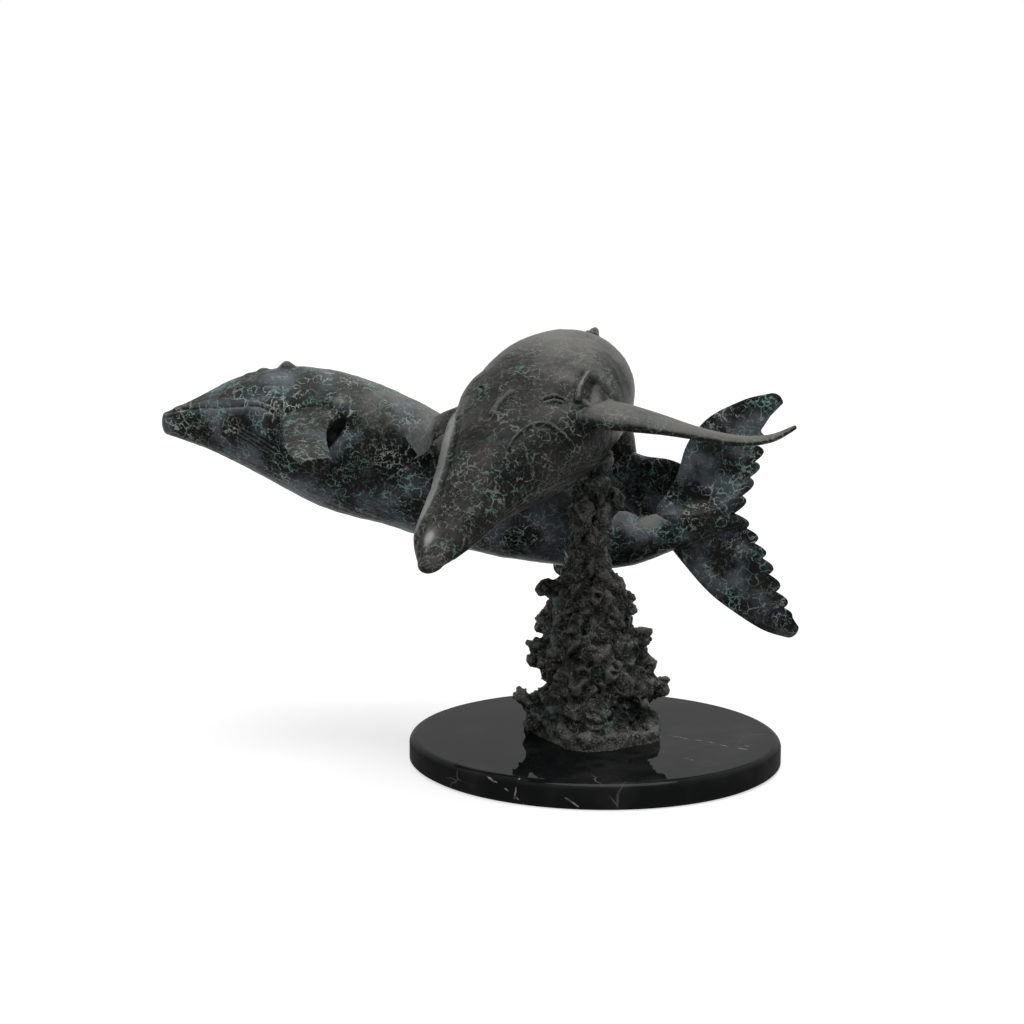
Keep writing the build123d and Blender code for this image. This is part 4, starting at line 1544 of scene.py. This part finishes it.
def front_whale(slab_top: float) -> Whale:
    """Return the whale that dives towards the viewer."""
    skin = WhaleSkin(
        stations=[
            ((-115, -184, 167), (-0.25, -0.55, 0.80), 12, 7, 7),
            ((-112, -172, 174), (-0.20, -0.50, 0.85), 18, 12, 11),
            ((-96, -140, 199), (-0.10, -0.45, 0.90), 28, 20, 21),
            ((-73, -98, 232), (-0.08, -0.40, 0.90), 47, 32, 43),
            ((-52, -52, 257), (-0.06, -0.35, 0.92), 60, 44, 57),
            ((-35, 0, 274), (-0.03, -0.20, 0.97), 62, 52, 59),
            ((-20, 45, 282), (0.12, 0.05, 0.99), 53, 48, 51),
            ((-8, 85, 277), (0.20, 0.35, 0.91), 35, 36, 36),
            ((8, 112, 254), (0.20, 0.75, 0.63), 22, 25, 23),
            ((20, 126, 225), (0.35, 0.85, 0.40), 15, 15, 14),
            ((27, 134, 193), (0.50, 0.80, 0.30), 14, 6, 6),
        ],
        slab_top=slab_top,
        midline=[(0.0, 70), (0.15, 76), (0.33, 87), (0.43, 103), (0.62, 108), (0.80, 97), (1.0, 90)],
        nose_reach=12.0,
        nose_round=16.0,
        nose_bluntness=3.0,
    )
    blades = {
        "left_flipper": Blade(
            [
                ((-35, -62, 270), (0, 1, 0.36), 26, 9),
                ((-7, -72, 268), (0, 1, 0.36), 26, 8.5),
                ((29, -76, 263), (0, 1, 0.32), 24, 7),
                ((70, -78, 254), (0, 1, 0.15), 21, 5),
                ((108, -78, 247), (0, 1, 0.10), 16, 4),
                ((135, -76, 250), (0, 1, 0.05), 10, 3),
                ((148, -74, 256), (0, 1, 0), 4, 2),
            ],
            skin,
            31,
            weld_radius=1.2,
            dust=0.7,
        ),
        "right_flipper": Blade(
            [
                ((-72, -56, 264), (0.30, 0.75, 0.55), 24, 8),
                ((-100, -40, 265), (0.30, 0.75, 0.55), 24, 8),
                ((-123, -25, 254), (0.30, 0.80, 0.50), 21, 8),
                ((-139, -18, 243), (0.20, 0.50, 0.80), 16, 7),
                ((-146, -17, 237), (0.20, 0.40, 0.85), 12, 5),
            ],
            skin,
            32,
            tip_reach=2.5,
            tip_square=3.0,
            ridge=(-0.8, 0.8),
            dust=0.2,
            # A painted highlight on the facet below the ridge.
            painted_highlight=1.02,
        ),
        "dorsal_fin": Blade(
            [
                ((-10, 56, 309), (0.20, 0.97, -0.10), 17, 7),
                ((-5, 65, 320), (0.20, 0.97, -0.20), 14, 5.5),
                ((-2, 73, 326.5), (0.20, 0.97, -0.30), 8, 3.5),
            ],
            skin,
            33,
            knob_height=0.0,
            weld_radius=2.0,
            roughness=0.3,
            dust=0.7,
        ),
    }
    shelf_edge = [
        (0.06, 29), (0.10, 23), (0.142, 25), (0.174, 28), (0.214, 32), (0.265, 37), (0.31, 47),
    ]
    arch = [
        (0.215, 48), (0.222, 43.6), (0.240, 38.5), (0.263, 36), (0.283, 36.5), (0.301, 39.5),
        (0.313, 45), (0.318, 53), (0.319, 62), (0.321, 75),
    ]
    return Whale(
        name="front_whale",
        skin=skin,
        seam=0.272,
        mouth=[],
        creases=[
            Crease(arch, 0.65, 1.5),
            Crease(shelf_edge, 0.7, 0.9, RIGHT_ONLY),
            Crease([(fraction - 0.007, angle + 3.5) for fraction, angle in arch], -0.35, 2.0),
            Crease([(0.298, 1), (0.320, 0), (0.345, 0)], 3.0, 3.0, LEFT_ONLY),
            Crease([(0.395, 0), (0.420, 0), (0.450, 0)], 2.0, 8.0, LEFT_ONLY),
            Crease([(0.350, 25), (0.360, 27), (0.370, 32), (0.373, 38)], 1.5, 1.3),
            Crease([(0.347, 29), (0.357, 32), (0.366, 37)], 1.0, 1.0),
            Crease([(0.352, 27), (0.361, 30), (0.369, 36)], -1.2, 1.0),
            Crease([(0.452, 27), (0.430, 30), (0.405, 35), (0.387, 42)], 4.2, 2.0, LEFT_ONLY),
            Crease([(0.445, 36), (0.425, 41), (0.405, 47)], -2.4, 4.5, LEFT_ONLY),
            Crease([(0.68, 0), (0.80, 0), (0.98, 0)], 1.8, 4.0, LEFT_ONLY),
        ],
        swells=[
            Swell(0.362, 31, 1.4, 8.0),
            Swell(0.405, 58, 3.0, 26.0),
        ],
        lip_shelf=[
            (0.03, 40), (0.06, 28), (0.10, 22), (0.142, 24), (0.174, 27), (0.214, 31),
            (0.265, 36), (0.313, 47), (0.345, 60),
        ],
        # A painted highlight on the snout.
        painted_light_spots=[(0.030, 7, 0.024, 20, 0.75)],
        pleat_span=(0.03, 0.55),
        blades=blades,
        flukes=Flukes((27, 136, 181), (0.36, 0.10, -0.93), (0.78, -0.55, 0.24), skin, 34),
        seed=51,
    )


def rear_whale(slab_top: float) -> Whale:
    """Return the whale that crosses behind, low, from left to right."""
    skin = WhaleSkin(
        stations=[
            ((-364, 19, 252), (0, -0.10, 1.00), 8, 8, 6.5),
            ((-336, 26, 253), (0, -0.10, 1.00), 19, 18, 19),
            ((-296, 34, 254), (0, -0.10, 1.00), 38, 38, 38),
            ((-259, 40, 249), (0, -0.12, 1.00), 50, 52, 50),
            ((-213, 45, 235), (0, -0.20, 1.00), 56, 57, 57),
            ((-162, 48, 216), (0, -0.35, 0.94), 53, 54, 54),
            ((-98, 48, 187), (0, -0.55, 0.85), 43, 45, 45),
            ((-30, 45, 164), (0, -0.75, 0.66), 31, 34, 33),
            ((29, 40, 154), (0, -0.90, 0.45), 20, 23, 22),
            ((70, 38, 167), (0.05, -0.97, 0.25), 16, 14, 14),
            ((99, 38, 177), (0.05, -0.99, 0.20), 14, 6, 6),
        ],
        slab_top=slab_top,
        midline=[(0.0, 88), (0.5, 88), (1.0, 90)],
        nose_reach=-1.5,
        nose_round=6.5,
        nose_bluntness=4.0,
    )
    blades = {
        "left_flipper": Blade(
            [
                ((-234, 26, 266), (1, 0, 0.15), 25, 8.5),
                ((-232, 0, 262), (1, 0, 0.15), 24, 8),
                ((-231, -35, 252), (1, 0, 0.10), 18.5, 6),
                ((-224, -70, 240), (1, 0, 0.05), 16, 4),
                ((-212, -99, 231), (1, 0, 0), 12.5, 2.6),
            ],
            skin,
            41,
            tip_reach=3.0,
            tip_square=6.0,
            dust=0.05,
        ),
        "right_flipper": Blade(
            [
                ((-234, 62, 256), (1, 0, 0.10), 25, 8.5),
                ((-232, 92, 254), (1, 0, 0.10), 25, 8),
                ((-228, 128, 248), (1, 0, 0.05), 22, 6),
                ((-221, 164, 240), (1, 0, 0), 18, 4),
                ((-212, 194, 233), (1, 0, 0), 14, 2.4),
            ],
            skin,
            42,
            tip_reach=3.0,
            tip_square=6.0,
            dust=0.05,
        ),
        "dorsal_fin": Blade(
            [
                ((-96, 28, 203), (0.95, 0, -0.30), 16, 7),
                ((-90, 18, 214), (0.95, 0, -0.30), 12, 5),
                ((-81, 11, 221), (0.95, 0, -0.30), 5, 2.5),
            ],
            skin,
            43,
            knob_height=0.0,
            weld_radius=2.0,
            roughness=0.3,
            dust=0.7,
        ),
    }
    throat_line = [(0.132, 88), (0.158, 95), (0.186, 101), (0.222, 106)]
    return Whale(
        name="rear_whale",
        skin=skin,
        seam=0.183,
        mouth=[
            (0.010, 20), (0.03, 33), (0.054, 45), (0.092, 58), (0.126, 64),
            (0.162, 66), (0.180, 69), (0.196, 74), (0.206, 81), (0.211, 88),
        ],
        lip_height=0.5,
        mouth_depth=0.8,
        rostrum_inset=0.2,
        pleat_depth=0.4,
        creases=[
            Crease([(0.03, 2), (0.10, 2), (0.16, 0)], 1.0, 4.0, LEFT_ONLY),
            Crease([(0.02, 8), (0.052, 18), (0.088, 34), (0.122, 48), (0.150, 58)], -0.25, 1.1),
            *[
                Crease([(fraction, angle + step) for fraction, angle in throat_line], -0.8, 1.0)
                for step in (0, 5, 10, 15)
            ],
            Crease([(0.176, 59), (0.192, 63), (0.205, 70), (0.214, 79)], 1.4, 2.0),
            Crease([(0.180, 46), (0.190, 46), (0.202, 52)], 1.3, 2.2),
            Crease([(0.182, 57), (0.192, 59), (0.200, 60)], 0.9, 1.6),
        ],
        swells=[
            Swell(0.200, 0, 5.0, 9.0, LEFT_ONLY),
            Swell(0.168, 0, 2.4, 7.0, LEFT_ONLY),
            Swell(0.147, 6, 1.4, 6.0, LEFT_ONLY),
            Swell(0.190, 53, 2.0, 8.0),
            Swell(0.190, 53, 1.2, 2.6),
            Swell(0.299, 47, 2.6, 22.0),
            Swell(0.296, 49, 3.2, 9.0),
            Swell(0.306, 69, -4.5, 12.0),
            Swell(0.842, 66, 5.0, 15.0, RIGHT_ONLY),
        ],
        pleat_span=(0.05, 0.52),
        blades=blades,
        flukes=Flukes((103, 38, 178), (0.998, 0, 0.069), (-0.069, 0, 0.998), skin, 44),
        seed=61,
        dust_rise=(0.23, 0.37, 0.22),
        dust_slant=0.0,
        # Painted shade in the gap between the near flipper and the body.
        painted_light_spots=[(0.296, 81, 0.012, 10, -1.0), (0.304, 71, 0.012, 10, -1.0), (0.312, 61, 0.010, 8, -0.9)],
        polish=1.0,
    )


def coral_finish() -> PatinaFinish:
    """Return the rougher, browner finish of the coral."""
    return PatinaFinish(
        "coral_bronze",
        dark=(0.0085, 0.0083, 0.0080),
        brown=(0.074, 0.067, 0.061),
        # Here the patches are teal verdigris, not painted sheen.
        sheen_and_verdigris=(0.085, 0.160, 0.150),
        dust=(0.23, 0.22, 0.205),
        sheen_and_verdigris_amount=0.8,
        sheen_and_verdigris_rarity=0.58,
        dust_amount=0.30,
        line_amount=0.25,
        relief_span=1.3,
        # Strength of the painted glints.
        glint_amount=0.45,
        grain=1.0,
        roughness=0.30,
        gloss=0.07,
    )


def dress_fittings() -> None:
    """Give the slab, the felt and the hidden fittings their finishes."""
    steel = PlainFinish("brushed_steel", (0.55, 0.55, 0.54), 0.35, 1.0).build()
    finishes = {
        "marble_base": MarbleFinish("black_marble").build(),
        "felt_pad": PlainFinish("black_felt", (0.02, 0.02, 0.022), 0.95, 0.0, 0.4, 900.0).build(),
        "foot_tab": PlainFinish("tab_bronze", (0.30, 0.20, 0.10), 0.45, 1.0).build(),
        "base_screw": steel,
        "base_washer": steel,
    }
    for name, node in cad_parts.items():
        for start, material in finishes.items():
            if name.startswith(start):
                node.data.materials.clear()
                node.data.materials.append(material)
                log.info("%s: finish %s", name, material.name)


def main() -> None:
    """Build and dress every piece, then light the scene."""
    logging.basicConfig(level=logging.INFO, format="%(message)s")
    slab_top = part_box("marble_base")[1].z / MM
    whale_bronze = PatinaFinish("whale_bronze").build()
    front_whale(slab_top).build(whale_bronze)
    rear_whale(slab_top).build(whale_bronze)
    CoralPedestal(slab_top).build(coral_finish().build())
    dress_fittings()
    Studio().build()


if __name__ == "__main__":
    main()
